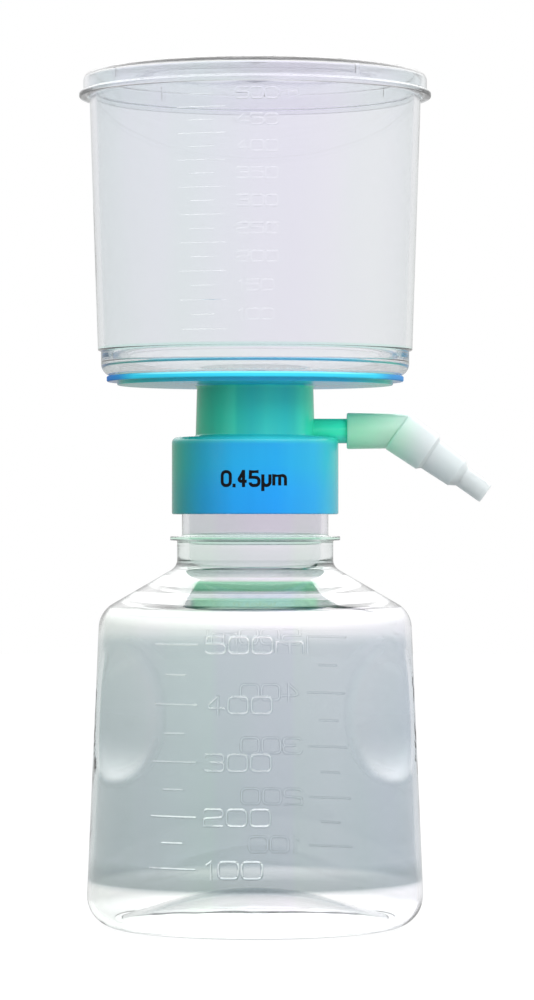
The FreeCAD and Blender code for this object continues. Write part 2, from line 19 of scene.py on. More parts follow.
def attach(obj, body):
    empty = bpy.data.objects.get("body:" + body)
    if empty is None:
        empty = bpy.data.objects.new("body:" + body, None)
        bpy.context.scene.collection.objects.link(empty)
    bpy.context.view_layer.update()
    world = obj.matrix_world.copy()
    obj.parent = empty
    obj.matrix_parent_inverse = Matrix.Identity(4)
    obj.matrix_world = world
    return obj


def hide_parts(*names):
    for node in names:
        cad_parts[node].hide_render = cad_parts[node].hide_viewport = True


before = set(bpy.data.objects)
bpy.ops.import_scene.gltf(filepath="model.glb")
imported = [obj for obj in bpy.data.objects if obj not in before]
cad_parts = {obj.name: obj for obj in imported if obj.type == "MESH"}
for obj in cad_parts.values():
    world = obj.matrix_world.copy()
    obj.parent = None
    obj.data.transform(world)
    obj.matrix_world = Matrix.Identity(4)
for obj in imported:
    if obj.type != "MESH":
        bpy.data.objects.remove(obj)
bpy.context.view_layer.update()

MM = 0.001

Colour = tuple[float, float, float]
Point = tuple[float, float, float]
Corner = tuple[float, float, float]
Flat = tuple[float, float]
Bands = tuple[tuple[float, Colour], ...]
Socket = bpy.types.NodeSocket
Inputs = dict[str | int, object]

ON_AXIS = 1e-6
"""A radius, in millimetres, below which a point is taken to lie on the axis."""
SAME_SPOT = 1e-7
"""How near, in metres, points are when they are taken for one."""
SLIVER = 5e-4
"""A face's area, as a share of its outline's square, below which its own normal isn't trusted."""
ALONG_CONE = 0.996
"""How nearly a face's normal has to agree with a cone's for the face to belong to it."""
SHARPEST_MITRE = 0.6
"""The least cosine that a bead's corner is widened by."""
MIX_SHARE, MIX_FIRST, MIX_SECOND, MIX_RESULT = 0, 6, 7, 2
"""The colour sockets of a mix node, which share their names with its sockets for numbers."""

log = logging.getLogger("filtration_unit")


class Body(Enum):
    """The bodies of the frame that this script's pieces ride on."""

    BOTTLE = "bottle"
    HEAD = "filter_head"
    LID = "lid"
    ADAPTER = "adapter"


class Fuse(Enum):
    """The ways in which one closed shell is worked into another."""

    JOIN = "UNION"
    CUT = "DIFFERENCE"


# ---------------------------------------------------------------- outlines


def rounded_path(corners: Sequence[Corner], closed: bool, steps: int = 5) -> list[Flat]:
    """Follow a path of corners, each eased by its own radius.

    Args:
        corners: Corners as (across, up, rounding radius).
        closed: Whether the last corner leads back to the first.
        steps: Straight runs in each eased corner.

    Returns:
        The points of the path.
    """
    count = len(corners)
    path: list[Flat] = []
    for index, (across, up, radius) in enumerate(corners):
        here = Vector((across, up))
        at_end = not closed and index in (0, count - 1)
        if radius <= 0 or at_end:
            path.append((across, up))
            continue
        before = Vector(corners[index - 1][:2]) - here
        after = Vector(corners[(index + 1) % count][:2]) - here
        half = before.angle(after) / 2
        setback = radius / math.tan(half)
        first = here + before.normalized() * setback
        middle = here + (before.normalized() + after.normalized()).normalized() * radius / math.sin(half)
        start = first - middle
        turn = (here + after.normalized() * setback - middle).angle_signed(start)
        for step in range(steps + 1):
            spoke = start.copy()
            spoke.rotate(Matrix.Rotation(turn * step / steps, 2))
            path.append(tuple(middle + spoke))
    return path


def dome(rim_radius: float, rim_height: float, crown_height: float, steps: int = 14) -> list[Corner]:
    """The corners of a shallow dome from its crown on the axis out to its rim.

    Args:
        rim_radius: Radius of the dome's rim.
        rim_height: Height of the rim.
        crown_height: Height of the crown.
        steps: Straight runs from crown to rim.

    Returns:
        Corners from the crown outwards, without the rim itself.
    """
    rise = crown_height - rim_height
    ball = (rim_radius**2 + rise**2) / (2 * rise)
    reach = math.asin(rim_radius / ball)
    turns = [reach * step / steps for step in range(steps)]
    return [(ball * math.sin(turn), crown_height - ball + ball * math.cos(turn), 0.0) for turn in turns]


def in_short_runs(path: Sequence[Flat], longest: float, low: float, high: float) -> list[Flat]:
    """Split a closed outline's steep runs between two heights.

    Args:
        path: The outline's points.
        longest: The longest rise that is kept whole.
        low: The height above which runs are split.
        high: The height up to which runs are split.

    Returns:
        The outline with points added along its long runs.
    """
    split: list[Flat] = []
    for (r0, z0), (r1, z1) in zip(path, [*path[1:], path[0]]):
        split.append((r0, z0))
        if abs(z1 - z0) < longest or min(z0, z1) > high or max(z0, z1) < low:
            continue
        ends = sorted(min(1.0, max(0.0, (level - z0) / (z1 - z0))) for level in (low, high))
        parts = math.ceil((ends[1] - ends[0]) * abs(z1 - z0) / longest)
        shares = [ends[0] + (ends[1] - ends[0]) * n / parts for n in range(parts + 1)]
        shares = [share for share in shares if 0.0 < share < 1.0]
        split += [(r0 + (r1 - r0) * share, z0 + (z1 - z0) * share) for share in shares]
    return split


def plain_rod(radius: float, start: float, end: float) -> list[Flat]:
    """The outline of a plain rod along the axis."""
    return [(0, start), (radius, start), (radius, end), (0, end)]


def even_azimuths(count: int) -> list[float]:
    """Azimuths, in radians, of evenly spaced outlines round an axis."""
    return [math.tau * index / count for index in range(count)]


# ---------------------------------------------------------------- shells and pieces


@dataclass
class Shell:
    """Closed surfaces being gathered for one mesh, in millimetres."""

    points: list[Point] = field(default_factory=list)
    faces: list[tuple[int, ...]] = field(default_factory=list)

    def add(self, points: Iterable[Point], faces: Iterable[tuple[int, ...]]) -> None:
        """Append a surface, whose faces count its own points from nought."""
        start = len(self.points)
        self.points.extend(points)
        self.faces.extend(tuple(start + index for index in face) for face in faces)

    def shaped(self, bend: Callable[[Point], Point]) -> "Shell":
        """The same surfaces with every point put where bend says."""
        return Shell([bend(point) for point in self.points], list(self.faces))

    def moved(self, place: Matrix) -> "Shell":
        """The same surfaces turned and shifted by a matrix, in millimetres."""
        return self.shaped(lambda point: tuple(place @ Vector(point)))


def turned(outline: Sequence[Flat], azimuths: Sequence[float]) -> Shell:
    """Turn a closed outline about the Z axis.

    Args:
        outline: Points as (radius, height); a radius of nought lies on the axis.
        azimuths: The angles at which the outline is laid down, in radians.

    Returns:
        The closed shell.
    """
    points: list[Point] = []
    rings: list[list[int]] = []
    for radius, height in outline:
        if radius < ON_AXIS:
            rings.append([len(points)] * len(azimuths))
            points.append((0.0, 0.0, height))
            continue
        rings.append(list(range(len(points), len(points) + len(azimuths))))
        points += [(radius * math.cos(a), radius * math.sin(a), height) for a in azimuths]
    faces: list[tuple[int, ...]] = []
    for low, high in zip(rings, [*rings[1:], rings[0]]):
        for here in range(len(azimuths)):
            there = (here + 1) % len(azimuths)
            corners = (low[here], low[there], high[there], high[here])
            kept = tuple(dict.fromkeys(corners))
            if len(kept) > 2:
                faces.append(kept)
    shell = Shell()
    shell.add(points, faces)
    return shell


def swept_bead(
    path: Sequence[Flat], closed: bool, half_width: float, rise: float, sides: int = 8
) -> Shell:
    """Run a rounded bead along a flat path.

    Args:
        path: Points of the bead's centre line.
        closed: Whether the path is a loop.
        half_width: Half of the bead's width in the plane.
        rise: How far the bead stands off the plane, on both sides of it.
        sides: Flats around the bead.

    Returns:
        The closed shell, with the plane at a third coordinate of nought.
    """
    count = len(path)
    points: list[Point] = []
    for index in range(count):
        here = Vector(path[index])
        last = Vector(path[index - 1]) if closed or index else None
        following = Vector(path[(index + 1) % count]) if closed or index < count - 1 else None
        arriving = (here - last).normalized() if last is not None else (following - here).normalized()
        leaving = (following - here).normalized() if following is not None else arriving
        along = (arriving + leaving).normalized()
        mitre = 1 / max(SHARPEST_MITRE, along.dot(arriving))
        side = Vector((-along.y, along.x)) * mitre
        for flat in range(sides):
            angle = math.tau * flat / sides
            offset = side * (half_width * math.cos(angle))
            points.append((here.x + offset.x, here.y + offset.y, rise * math.sin(angle)))
    faces: list[tuple[int, ...]] = []
    for index in range(count if closed else count - 1):
        low = index * sides
        high = ((index + 1) % count) * sides
        for flat in range(sides):
            after = (flat + 1) % sides
            faces.append((low + flat, low + after, high + after, high + flat))
    if not closed:
        faces.append(tuple(range(sides)))
        faces.append(tuple(range((count - 1) * sides, count * sides))[::-1])
    shell = Shell()
    shell.add(points, faces)
    return shell


def radial_block(near: float, far: float, width: float, low: float, high: float) -> Shell:
    """A plain block that lies along the X axis.

    Args:
        near: The block's end nearer the axis.
        far: Its outer end.
        width: Its width.
        low: The height of its underside.
        high: The height of its top.

    Returns:
        The closed shell.
    """
    half = width / 2
    corners = ((near, -half), (far, -half), (far, half), (near, half))
    block = Shell()
    block.add(
        [(x, y, z) for z in (low, high) for x, y in corners],
        [(3, 2, 1, 0), (4, 5, 6, 7), (0, 1, 5, 4), (1, 2, 6, 5), (2, 3, 7, 6), (3, 0, 4, 7)],
    )
    return block


def make_object(name: str, shell: Shell, *finishes: bpy.types.Material) -> bpy.types.Object:
    """Make a mesh object, in metres, with every face pointing outwards.

    Args:
        name: The object's name.
        shell: The surfaces in millimetres.
        *finishes: The object's materials in slot order.

    Returns:
        The object, linked to the scene.
    """
    mesh = bpy.data.meshes.new(name)
    for finish in finishes:
        mesh.materials.append(finish)
    mesh.from_pydata([Vector(point) * MM for point in shell.points], [], shell.faces)
    work = bmesh.new()
    work.from_mesh(mesh)
    bmesh.ops.remove_doubles(work, verts=work.verts, dist=SAME_SPOT)
    bmesh.ops.recalc_face_normals(work, faces=work.faces)
    work.to_mesh(mesh)
    work.free()
    thing = bpy.data.objects.new(name, mesh)
    bpy.context.scene.collection.objects.link(thing)
    return thing


def settle(thing: bpy.types.Object) -> None:
    """Turn an object's modifiers into a plain mesh and take them off.

    Args:
        thing: The object with its modifiers.
    """
    seen = thing.evaluated_get(bpy.context.evaluated_depsgraph_get())
    plain = bpy.data.meshes.new_from_object(seen)
    plain.name = thing.name
    thing.modifiers.clear()
    thing.data = plain


def work_in(thing: bpy.types.Object, tool: bpy.types.Object, way: Fuse, slot: int = 0) -> None:
    """Join a closed tool to an object, or cut it out of it, and throw the tool away.

    Args:
        thing: The object that is worked on.
        tool: The closed shell that is joined or cut out.
        way: Whether the tool is joined or cut out.
        slot: The object's material slot that the tool's faces take.
    """
    tool.data.materials.clear()
    for finish in thing.data.materials:
        tool.data.materials.append(finish)
    tool.data.polygons.foreach_set("material_index", [slot] * len(tool.data.polygons))
    step = thing.modifiers.new(way.name.lower(), "BOOLEAN")
    step.operation = way.value
    step.solver = "MANIFOLD"
    step.object = tool
    settle(thing)
    bpy.data.objects.remove(tool)


def cone_normal(spot: Vector, slope: float) -> Vector:
    """The way out from a cone about the Z axis whose radius grows by a slope, not yet of unit length."""
    return Vector((spot.x, spot.y, 0)).normalized() + Vector((0, 0, -slope))


def follow_cone(
    mesh: bpy.types.Mesh,
    slope: float,
    ground: float,
    span: Flat,
    plain: Callable[[Vector], bool] | None = None,
) -> None:
    """Give the faces that lie along a cone about the Z axis the cone's own normals.

    Args:
        mesh: The shaded mesh.
        slope: How much the cone's radius grows with height.
        ground: The radius of the wall's middle where the height is nought, in millimetres.
        span: The heights that the cone lies between, in millimetres.
        plain: Says whether a face's middle, in millimetres, is on the cone at all.
    """
    normals = [corner.vector.copy() for corner in mesh.corner_normals]
    for face in mesh.polygons:
        middle = face.center / MM
        if not span[0] < middle.z < span[1] or (plain and not plain(middle)):
            continue
        way = face.normal.dot(cone_normal(middle, slope).normalized())
        ring = [mesh.vertices[index].co for index in face.vertices]
        girth = sum((after - here).length for here, after in zip(ring, [*ring[1:], ring[0]]))
        if face.area < SLIVER * girth**2:
            way = math.hypot(middle.x, middle.y) - ground - slope * middle.z
        elif abs(way) < ALONG_CONE:
            continue
        for corner in face.loop_indices:
            spot = mesh.vertices[mesh.loops[corner].vertex_index].co
            normals[corner] = cone_normal(spot, slope).normalized() * math.copysign(1.0, way)
    mesh.normals_split_custom_set(normals)


def finish_piece(
    thing: bpy.types.Object,
    body: Body,
    replaces: Sequence[str] = (),
    crease: float = 32.0,
) -> None:
    """Shade one piece and hang it on its body, and report it.

    Args:
        thing: The finished object.
        body: The body that it rides on.
        replaces: The CAD nodes that it stands for.
        crease: The angle, in degrees, above which an edge stays sharp.
    """
    mesh = thing.data
    mesh.shade_smooth()
    mesh.set_sharp_from_angle(angle=math.radians(crease))
    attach(thing, body.value)
    if replaces:
        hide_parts(*replaces)
    log.info("%s: %d faces on body %s", thing.name, len(mesh.polygons), body.value)


# ---------------------------------------------------------------- node trees


class Bench:
    """A node tree that is put together in code."""

    prefix = "ShaderNode"

    def __init__(self, tree: bpy.types.NodeTree) -> None:
        """Take the tree that nodes are added to."""
        self.tree = tree

    def node(self, kind: str, inputs: Inputs | None = None, **settings: object) -> bpy.types.Node:
        """Add a node.

        Args:
            kind: The node's type, without the tree's own prefix.
            inputs: Values or sockets for its inputs, by name or index.
            **settings: Properties of the node itself.

        Returns:
            The node.
        """
        node = self.tree.nodes.new(kind if kind.startswith("Shader") else self.prefix + kind)
        for name, value in settings.items():
            setattr(node, name, value)
        for name, value in (inputs or {}).items():
            socket = node.inputs[name]
            if isinstance(value, Socket):
                self.tree.links.new(value, socket)
            elif isinstance(value, tuple) and len(value) < len(socket.default_value):
                socket.default_value = (*value, 1.0)
            else:
                socket.default_value = value
        return node

    def sum(self, way: str, left: object, right: object = 0.0, third: object = None) -> Socket:
        """The result of one piece of arithmetic on sockets or numbers."""
        inputs: Inputs = {0: left, 1: right}
        if third is not None:
            inputs[2] = third
        return self.node("ShaderNodeMath", inputs, operation=way).outputs[0]


class Recipe(Bench):
    """A geometry node tree that ends in real meshes with a material."""

    prefix = "GeometryNode"

    def __init__(self, name: str) -> None:
        """Start a tree with its input and output nodes."""
        super().__init__(bpy.data.node_groups.new(name, "GeometryNodeTree"))
        self.source = self.tree.nodes.new("NodeGroupInput")
        self.result = self.tree.nodes.new("NodeGroupOutput")
        self.tree.interface.new_socket("Geometry", in_out="OUTPUT", socket_type="NodeSocketGeometry")

    def size(self, name: str, value: float | int | None, kind: str = "Float") -> Socket:
        """Add a named input and return its socket."""
        socket = self.tree.interface.new_socket(name, in_out="INPUT", socket_type=f"NodeSocket{kind}")
        if value is not None:
            socket.default_value = value
        return self.source.outputs[name]

    def along(self, axes: dict[str, object]) -> Socket:
        """A vector with the given parts, by axis, and nought elsewhere."""
        return self.node("ShaderNodeCombineXYZ", axes).outputs[0]

    def beaded(self, lines: Socket, radius: Socket) -> Socket:
        """A round bead, closed at its ends, along every line."""
        section = self.node("CurvePrimitiveCircle", {"Resolution": 8, "Radius": radius}).outputs[0]
        shape = self.node("CurveToMesh", {"Curve": lines, "Profile Curve": section, "Fill Caps": True})
        return shape.outputs[0]

    def close(self, shape: Socket) -> None:
        """End the tree with its instances made real and its material set."""
        material = self.size("Material", None, "Material")
        real = self.node("RealizeInstances", {"Geometry": shape})
        dressed = self.node("SetMaterial", {"Geometry": real.outputs[0], "Material": material})
        self.tree.links.new(dressed.outputs[0], self.result.inputs[0])

    def made(
        self, name: str, sizes: dict[str, object], start: bpy.types.Object | None = None
    ) -> bpy.types.Object:
        """Run the tree once and keep its result as a plain mesh.

        Args:
            name: The new object's name.
            sizes: Values for the tree's named inputs.
            start: The object whose mesh the tree works on, or None for an empty one.

        Returns:
            The object with a plain mesh.
        """
        thing = start or bpy.data.objects.new(name, bpy.data.meshes.new(name))
        if start is None:
            bpy.context.scene.collection.objects.link(thing)
        thing.name = name
        step = thing.modifiers.new(self.tree.name, "NODES")
        step.node_group = self.tree
        inputs = [item for item in self.tree.interface.items_tree if item.in_out == "INPUT"]
        identifiers = {item.name: item.identifier for item in inputs}
        for size_name, value in sizes.items():
            step[identifiers[size_name]] = value
        settle(thing)
        return thing


def screw_thread_recipe() -> Recipe:
    """A thread that winds up round the Z axis, with a rounded crest.

    Returns:
        The recipe.
    """
    recipe = Recipe("screw_thread")
    turns = recipe.size("Turns", 2.0)
    pitch = recipe.size("Pitch", 0.004)
    radius = recipe.size("Radius", 0.021)
    height = recipe.size("Start height", 0.12)
    crest = recipe.size("Crest radius", 0.001)
    winding = recipe.node(
        "CurveSpiral",
        {
            "Resolution": 72,
            "Rotations": turns,
            "Start Radius": radius,
            "End Radius": radius,
            "Height": recipe.sum("MULTIPLY", turns, pitch),
            "Reverse": True,
        },
    )
    lift = recipe.along({"Z": height})
    raised = recipe.node("Transform", {"Geometry": winding.outputs[0], "Translation": lift})
    recipe.close(recipe.beaded(raised.outputs[0], crest))
    return recipe


def ring_recipe() -> Recipe:
    """Copies of a mesh set evenly round the Z axis.

    Returns:
        The recipe.
    """
    recipe = Recipe("set_round_axis")
    shape = recipe.size("Shape", None, "Geometry")
    count = recipe.size("Count", 4, "Int")
    first = recipe.size("First angle", 0.0)
    spots = recipe.node("Points", {"Count": count})
    index = recipe.node("InputIndex").outputs[0]
    share = recipe.sum("DIVIDE", recipe.sum("MULTIPLY", index, math.tau), count)
    turn = recipe.along({"Z": recipe.sum("ADD", share, first)})
    copies = {"Points": spots.outputs[0], "Instance": shape, "Rotation": turn}
    recipe.close(recipe.node("InstanceOnPoints", copies).outputs[0])
    return recipe


def tick_ladder_recipe() -> Recipe:
    """Raised level marks up a tapered wall, long at every other level.

    Returns:
        The recipe.
    """
    recipe = Recipe("level_marks")
    count = recipe.size("Count", 9, "Int")
    first = recipe.size("First height", 0.02)
    rise = recipe.size("Rise", 0.007)
    growth = recipe.size("Growth", 0.0001)
    ground_radius = recipe.size("Ground radius", 0.0486)
    slope = recipe.size("Slope", -0.043)
    centre = recipe.size("Centre angle", 0.0)
    long_sweep = recipe.size("Long sweep", 0.3)
    short_sweep = recipe.size("Short sweep", 0.15)
    bead = recipe.size("Bead radius", 0.0004)

    index = recipe.node("InputIndex").outputs[0]
    square = recipe.sum("MULTIPLY", index, index)
    height = recipe.sum("ADD", first, recipe.sum("MULTIPLY", index, rise))
    height = recipe.sum("ADD", height, recipe.sum("MULTIPLY", square, growth))
    wall = recipe.sum("ADD", ground_radius, recipe.sum("MULTIPLY", height, slope))
    spots = recipe.node("Points", {"Count": count, "Position": recipe.along({"Z": height})})

    def mark(sweep: Socket) -> Socket:
        """One arc of unit radius about the scale's centre line."""
        start = recipe.sum("SUBTRACT", centre, recipe.sum("MULTIPLY", sweep, 0.5))
        sizes = {"Resolution": 12, "Radius": 1.0, "Start Angle": start, "Sweep Angle": sweep}
        return recipe.node("CurveArc", sizes).outputs[0]

    marks = recipe.node("GeometryToInstance")
    recipe.tree.links.new(mark(short_sweep), marks.inputs[0])
    recipe.tree.links.new(mark(long_sweep), marks.inputs[0])
    # the size at each point is read before its copies are set
    note = {"Geometry": spots.outputs[0], "Name": "wall", "Value": wall}
    held = recipe.node("StoreNamedAttribute", note)
    reading = recipe.node("InputNamedAttribute", {"Name": "wall"}).outputs[0]
    spread = recipe.along({"X": reading, "Y": reading, "Z": 1.0})
    placed = recipe.node(
        "InstanceOnPoints",
        {
            "Points": held.outputs[0],
            "Instance": marks.outputs[0],
            "Pick Instance": True,
            "Instance Index": recipe.sum("MODULO", index, 2.0),
            "Scale": spread,
        },
    )
    lines = recipe.node("RealizeInstances", {"Geometry": placed.outputs[0]})
    recipe.close(recipe.beaded(lines.outputs[0], bead))
    return recipe


@dataclass(frozen=True)
class Winding:
    """The sizes of one screw thread."""

    turns: float
    radius: float
    start: float
    crest: float
    pitch: float = 4.0

    def made(self, name: str, recipe: Recipe, finish: bpy.types.Material) -> bpy.types.Object:
        """Wind the thread by its recipe.

        Args:
            name: The new object's name.
            recipe: The recipe for screw threads.
            finish: The thread's material.

        Returns:
            The thread.
        """
        sizes = {
            "Turns": self.turns,
            "Pitch": self.pitch * MM,
            "Radius": self.radius * MM,
            "Start height": self.start * MM,
            "Crest radius": self.crest * MM,
            "Material": finish,
        }
        return recipe.made(name, sizes)


@dataclass(frozen=True)
class Ladder:
    """The level marks of one scale: how they rise, and how far they sweep round the wall, in degrees."""

    count: int
    first: float
    rise: float
    growth: float
    azimuth: float
    long_sweep: float
    short_sweep: float
    bead: float

    def level(self, step: int) -> float:
        """The height of one mark."""
        return self.first + self.rise * step + self.growth * step**2

    def made(
        self, name: str, recipe: Recipe, ground: float, slope: float, finish: bpy.types.Material
    ) -> bpy.types.Object:
        """Set the marks on a tapered wall by their recipe.

        Args:
            name: The new object's name.
            recipe: The recipe for level marks.
            ground: The radius that the marks' middles have where the height is nought.
            slope: How much that radius grows with height.
            finish: The marks' material.

        Returns:
            The marks.
        """
        sizes = {
            "Count": self.count,
            "First height": self.first * MM,
            "Rise": self.rise * MM,
            "Growth": self.growth * MM,
            "Ground radius": ground * MM,
            "Slope": slope,
            "Centre angle": math.radians(self.azimuth - 90),
            "Long sweep": math.radians(self.long_sweep),
            "Short sweep": math.radians(self.short_sweep),
            "Bead radius": self.bead * MM,
            "Material": finish,
        }
        return recipe.made(name, sizes)


# ---------------------------------------------------------------- numerals


@dataclass(frozen=True)
class Glyph:
    """One moulded figure: its width and its strokes, in figure heights."""

    width: float
    strokes: tuple[tuple[Corner, ...], ...]
    closed: bool = False


ROUND = 0.27
GLYPHS: dict[str, Glyph] = {
    "0": Glyph(1.2, (((0, 0, ROUND), (1.2, 0, ROUND), (1.2, 1, ROUND), (0, 1, ROUND)),), closed=True),
    "1": Glyph(0.75, (((0.2, 0.78, 0), (0.5, 1, 0), (0.5, -0.12, 0)),)),
    "2": Glyph(
        1.2,
        (
            (
                *((0, 0.74, 0), (0, 1, 0.22), (1.2, 1, 0.22), (1.2, 0.53, 0.2)),
                *((0, 0.45, 0.2), (0, 0, 0), (1.2, 0, 0)),
            ),
        ),
    ),
    "3": Glyph(
        1.2,
        (
            ((0, 0.78, 0), (0, 1, 0.2), (1.2, 1, 0.2), (1.2, 0.52, 0.18), (0.4, 0.52, 0)),
            ((0.8, 0.52, 0), (1.2, 0.52, 0.18), (1.2, 0, 0.22), (0, 0, 0.2), (0, 0.22, 0)),
        ),
    ),
    "4": Glyph(
        1.2,
        (
            ((0.76, 1.0, 0), (0, 0.3, 0.14), (1.25, 0.3, 0)),
            ((0.80, -0.12, 0), (0.80, 1.12, 0)),
        ),
    ),
    "5": Glyph(
        1.2,
        (
            (
                *((1.15, 1, 0), (0.04, 1, 0), (0, 0.58, 0), (1.2, 0.58, 0.24)),
                *((1.2, 0, 0.24), (0, 0, 0.2), (0, 0.22, 0)),
            ),
        ),
    ),
    "m": Glyph(
        1.7,
        (
            ((0, 0, 0), (0, 0.72, 0), (1.7, 0.72, 0.22), (1.7, 0, 0)),
            ((0.85, 0.72, 0), (0.85, 0, 0)),
        ),
    ),
    "l": Glyph(0.1, (((0.05, 1, 0), (0.05, 0, 0)),)),
    ".": Glyph(0.0, (((0, -0.13, 0), (0, 0.13, 0)),)),
    "µ": Glyph(
        1.0,
        (
            ((0, 0.8, 0), (0, 0, 0.24), (1.0, 0, 0.24), (1.0, 0.8, 0)),
            ((0, 0.3, 0), (0, -0.4, 0)),
        ),
    ),
}


@dataclass(frozen=True)
class Figures:
    """Raised figures that follow a tapered wall."""

    height: float
    gap: float
    half_width: float
    rise: float
    start_azimuth: float
    ground_radius: float
    slope: float
    sunk: float = 0.0
    narrowing: float = 1.0

    def width(self, text: str) -> float:
        """How long a line of figures is along the wall."""
        figures = sum(GLYPHS[letter].width * self.narrowing * self.height for letter in text)
        return figures + self.gap * (len(text) - 1)

    def lines(self, marks: Iterable[tuple[str, float]]) -> tuple[Shell, Shell]:
        """Set several lines of figures.

        Args:
            marks: The text of each line and the height of its middle.

        Returns:
            The first strokes of all the figures, and the strokes that cross them.
        """
        layers = (Shell(), Shell())
        for text, level in marks:
            for layer, part in zip(layers, self.line(text, level)):
                layer.add(part.points, part.faces)
        return layers

    def line(self, text: str, level: float) -> tuple[Shell, Shell]:
        """Set one line of figures at a level.

        Args:
            text: The figures.
            level: The height of the line's middle.

        Returns:
            The first strokes of the figures, and the strokes that cross them.
        """
        layers = (Shell(), Shell())
        radius = self.ground_radius + self.slope * level
        across = 0.0

        def on_wall(point: Point) -> Point:
            """Where a flat point of the line lies on the wall."""
            height = level + point[1] - self.height / 2
            reach = self.ground_radius + self.slope * height - self.sunk + point[2]
            azimuth = math.radians(self.start_azimuth) + point[0] / radius
            return (reach * math.sin(azimuth), -reach * math.cos(azimuth), height)

        for letter in text:
            glyph = GLYPHS[letter]
            for order, corners in enumerate(glyph.strokes):
                wide = self.narrowing * self.height
                sized = [(across + x * wide, y * self.height, r * self.height) for x, y, r in corners]
                path = rounded_path(sized, glyph.closed, 4)
                bead = swept_bead(path, glyph.closed, self.half_width, self.rise).shaped(on_wall)
                layers[order].add(bead.points, bead.faces)
            across += glyph.width * self.narrowing * self.height + self.gap
        return layers


# ---------------------------------------------------------------- finishes


class Paint(Bench):
    """A material whose nodes are put together in code."""

    def __init__(self, name: str) -> None:
        """Start an empty material."""
        self.material = bpy.data.materials.new(name)
        self.material.use_nodes = True
        super().__init__(self.material.node_tree)
        self.tree.nodes.clear()
        self.end = self.node("OutputMaterial")

    def place(self) -> tuple[Socket, tuple[Socket, Socket, Socket]]:
        """The piece's own coordinates, whole and split into X, Y and Z."""
        whole = self.node("TexCoord").outputs["Object"]
        return whole, tuple(self.node("SeparateXYZ", {0: whole}).outputs)

    def times(self, left: object, right: object) -> Socket:
        """The product of two sockets or numbers."""
        return self.sum("MULTIPLY", left, right)

    def reach(self, across: Socket, depth: Socket) -> Socket:
        """The distance from the Z axis."""
        return self.sum("SQRT", self.sum("ADD", self.times(across, across), self.times(depth, depth)))

    def ramp(self, value: Socket, low: float, high: float) -> Socket:
        """A smooth step from nought at low to one at high."""
        ends = {"Value": value, "From Min": low, "From Max": high}
        return self.node("MapRange", ends, interpolation_type="SMOOTHSTEP").outputs[0]

    def rising(self, value: Socket, span: Flat) -> Socket:
        """A smooth step from nought to one over a span in millimetres."""
        return self.ramp(value, span[0] * MM, span[1] * MM)

    def falling(self, value: Socket, span: Flat) -> Socket:
        """A smooth step from one to nought over a span in millimetres."""
        return self.sum("SUBTRACT", 1.0, self.rising(value, span))

    def bands(self, value: Socket, stops: Bands) -> Socket:
        """Colours that follow a coordinate.

        Args:
            value: The coordinate, in metres.
            stops: The colours and their places, in millimetres, in rising order.

        Returns:
            The colour.
        """
        low, high = stops[0][0], stops[-1][0]
        ends = {"Value": value, "From Min": low * MM, "From Max": high * MM}
        ramp = self.node("ValToRGB", {"Fac": self.node("MapRange", ends).outputs[0]})
        steps = ramp.color_ramp.elements
        while len(steps) < len(stops):
            steps.new(0.5)
        # the places come first, because a step that is moved past another changes its number
        for step, (place, _) in zip(steps, stops):
            step.position = (place - low) / (high - low)
        for step, (_, colour) in zip(steps, stops):
            step.color = (*colour, 1.0)
        return ramp.outputs[0]

    def blend(self, share: object, first: object, second: object, way: str = "MIX") -> Socket:
        """Two colours mixed, or multiplied, by a share of the second."""
        colours = {MIX_SHARE: share, MIX_FIRST: first, MIX_SECOND: second}
        return self.node("Mix", colours, data_type="RGBA", blend_type=way).outputs[MIX_RESULT]

    def tinted(self, colour: object, second: object, share: object = 1.0) -> Socket:
        """A colour multiplied by a share of another."""
        return self.blend(share, colour, second, "MULTIPLY")

    def noise(self, whole: Socket, scale: float, detail: float, **inputs: object) -> Socket:
        """A noise with a scale per metre."""
        inputs = {"Vector": whole, "Scale": scale, "Detail": detail} | inputs
        return self.node("TexNoise", inputs).outputs[0]

    def waves(self, whole: Socket, scale: float, depth: float, detail: float = 1.0) -> Socket:
        """A normal for a surface that waves gently, with a scale per metre and a depth in metres."""
        height = self.noise(whole, scale, detail, Roughness=0.45)
        return self.node("Bump", {"Height": height, "Distance": depth, "Strength": 1.0}).outputs[0]

    def drawn_out(self, whole: Socket, squash: float) -> Socket:
        """Coordinates in which a noise is drawn out along the Z axis."""
        return self.node("Mapping", {"Vector": whole, "Scale": (1.0, 1.0, squash)}).outputs[0]

    def let_lamps_through(self, surface: Socket, tint: Colour) -> Socket:
        """Mix in a clear shader for rays from lamps, so that they light what is behind the piece."""
        clear = self.node("BsdfTransparent", {"Color": tint})
        path = self.node("LightPath").outputs["Is Shadow Ray"]
        return self.node("MixShader", {0: path, 1: surface, 2: clear.outputs[0]}).outputs[0]

    def done(self, surface: Socket) -> bpy.types.Material:
        """Link the finished shader and return the material."""
        self.tree.links.new(surface, self.end.inputs["Surface"])
        return self.material


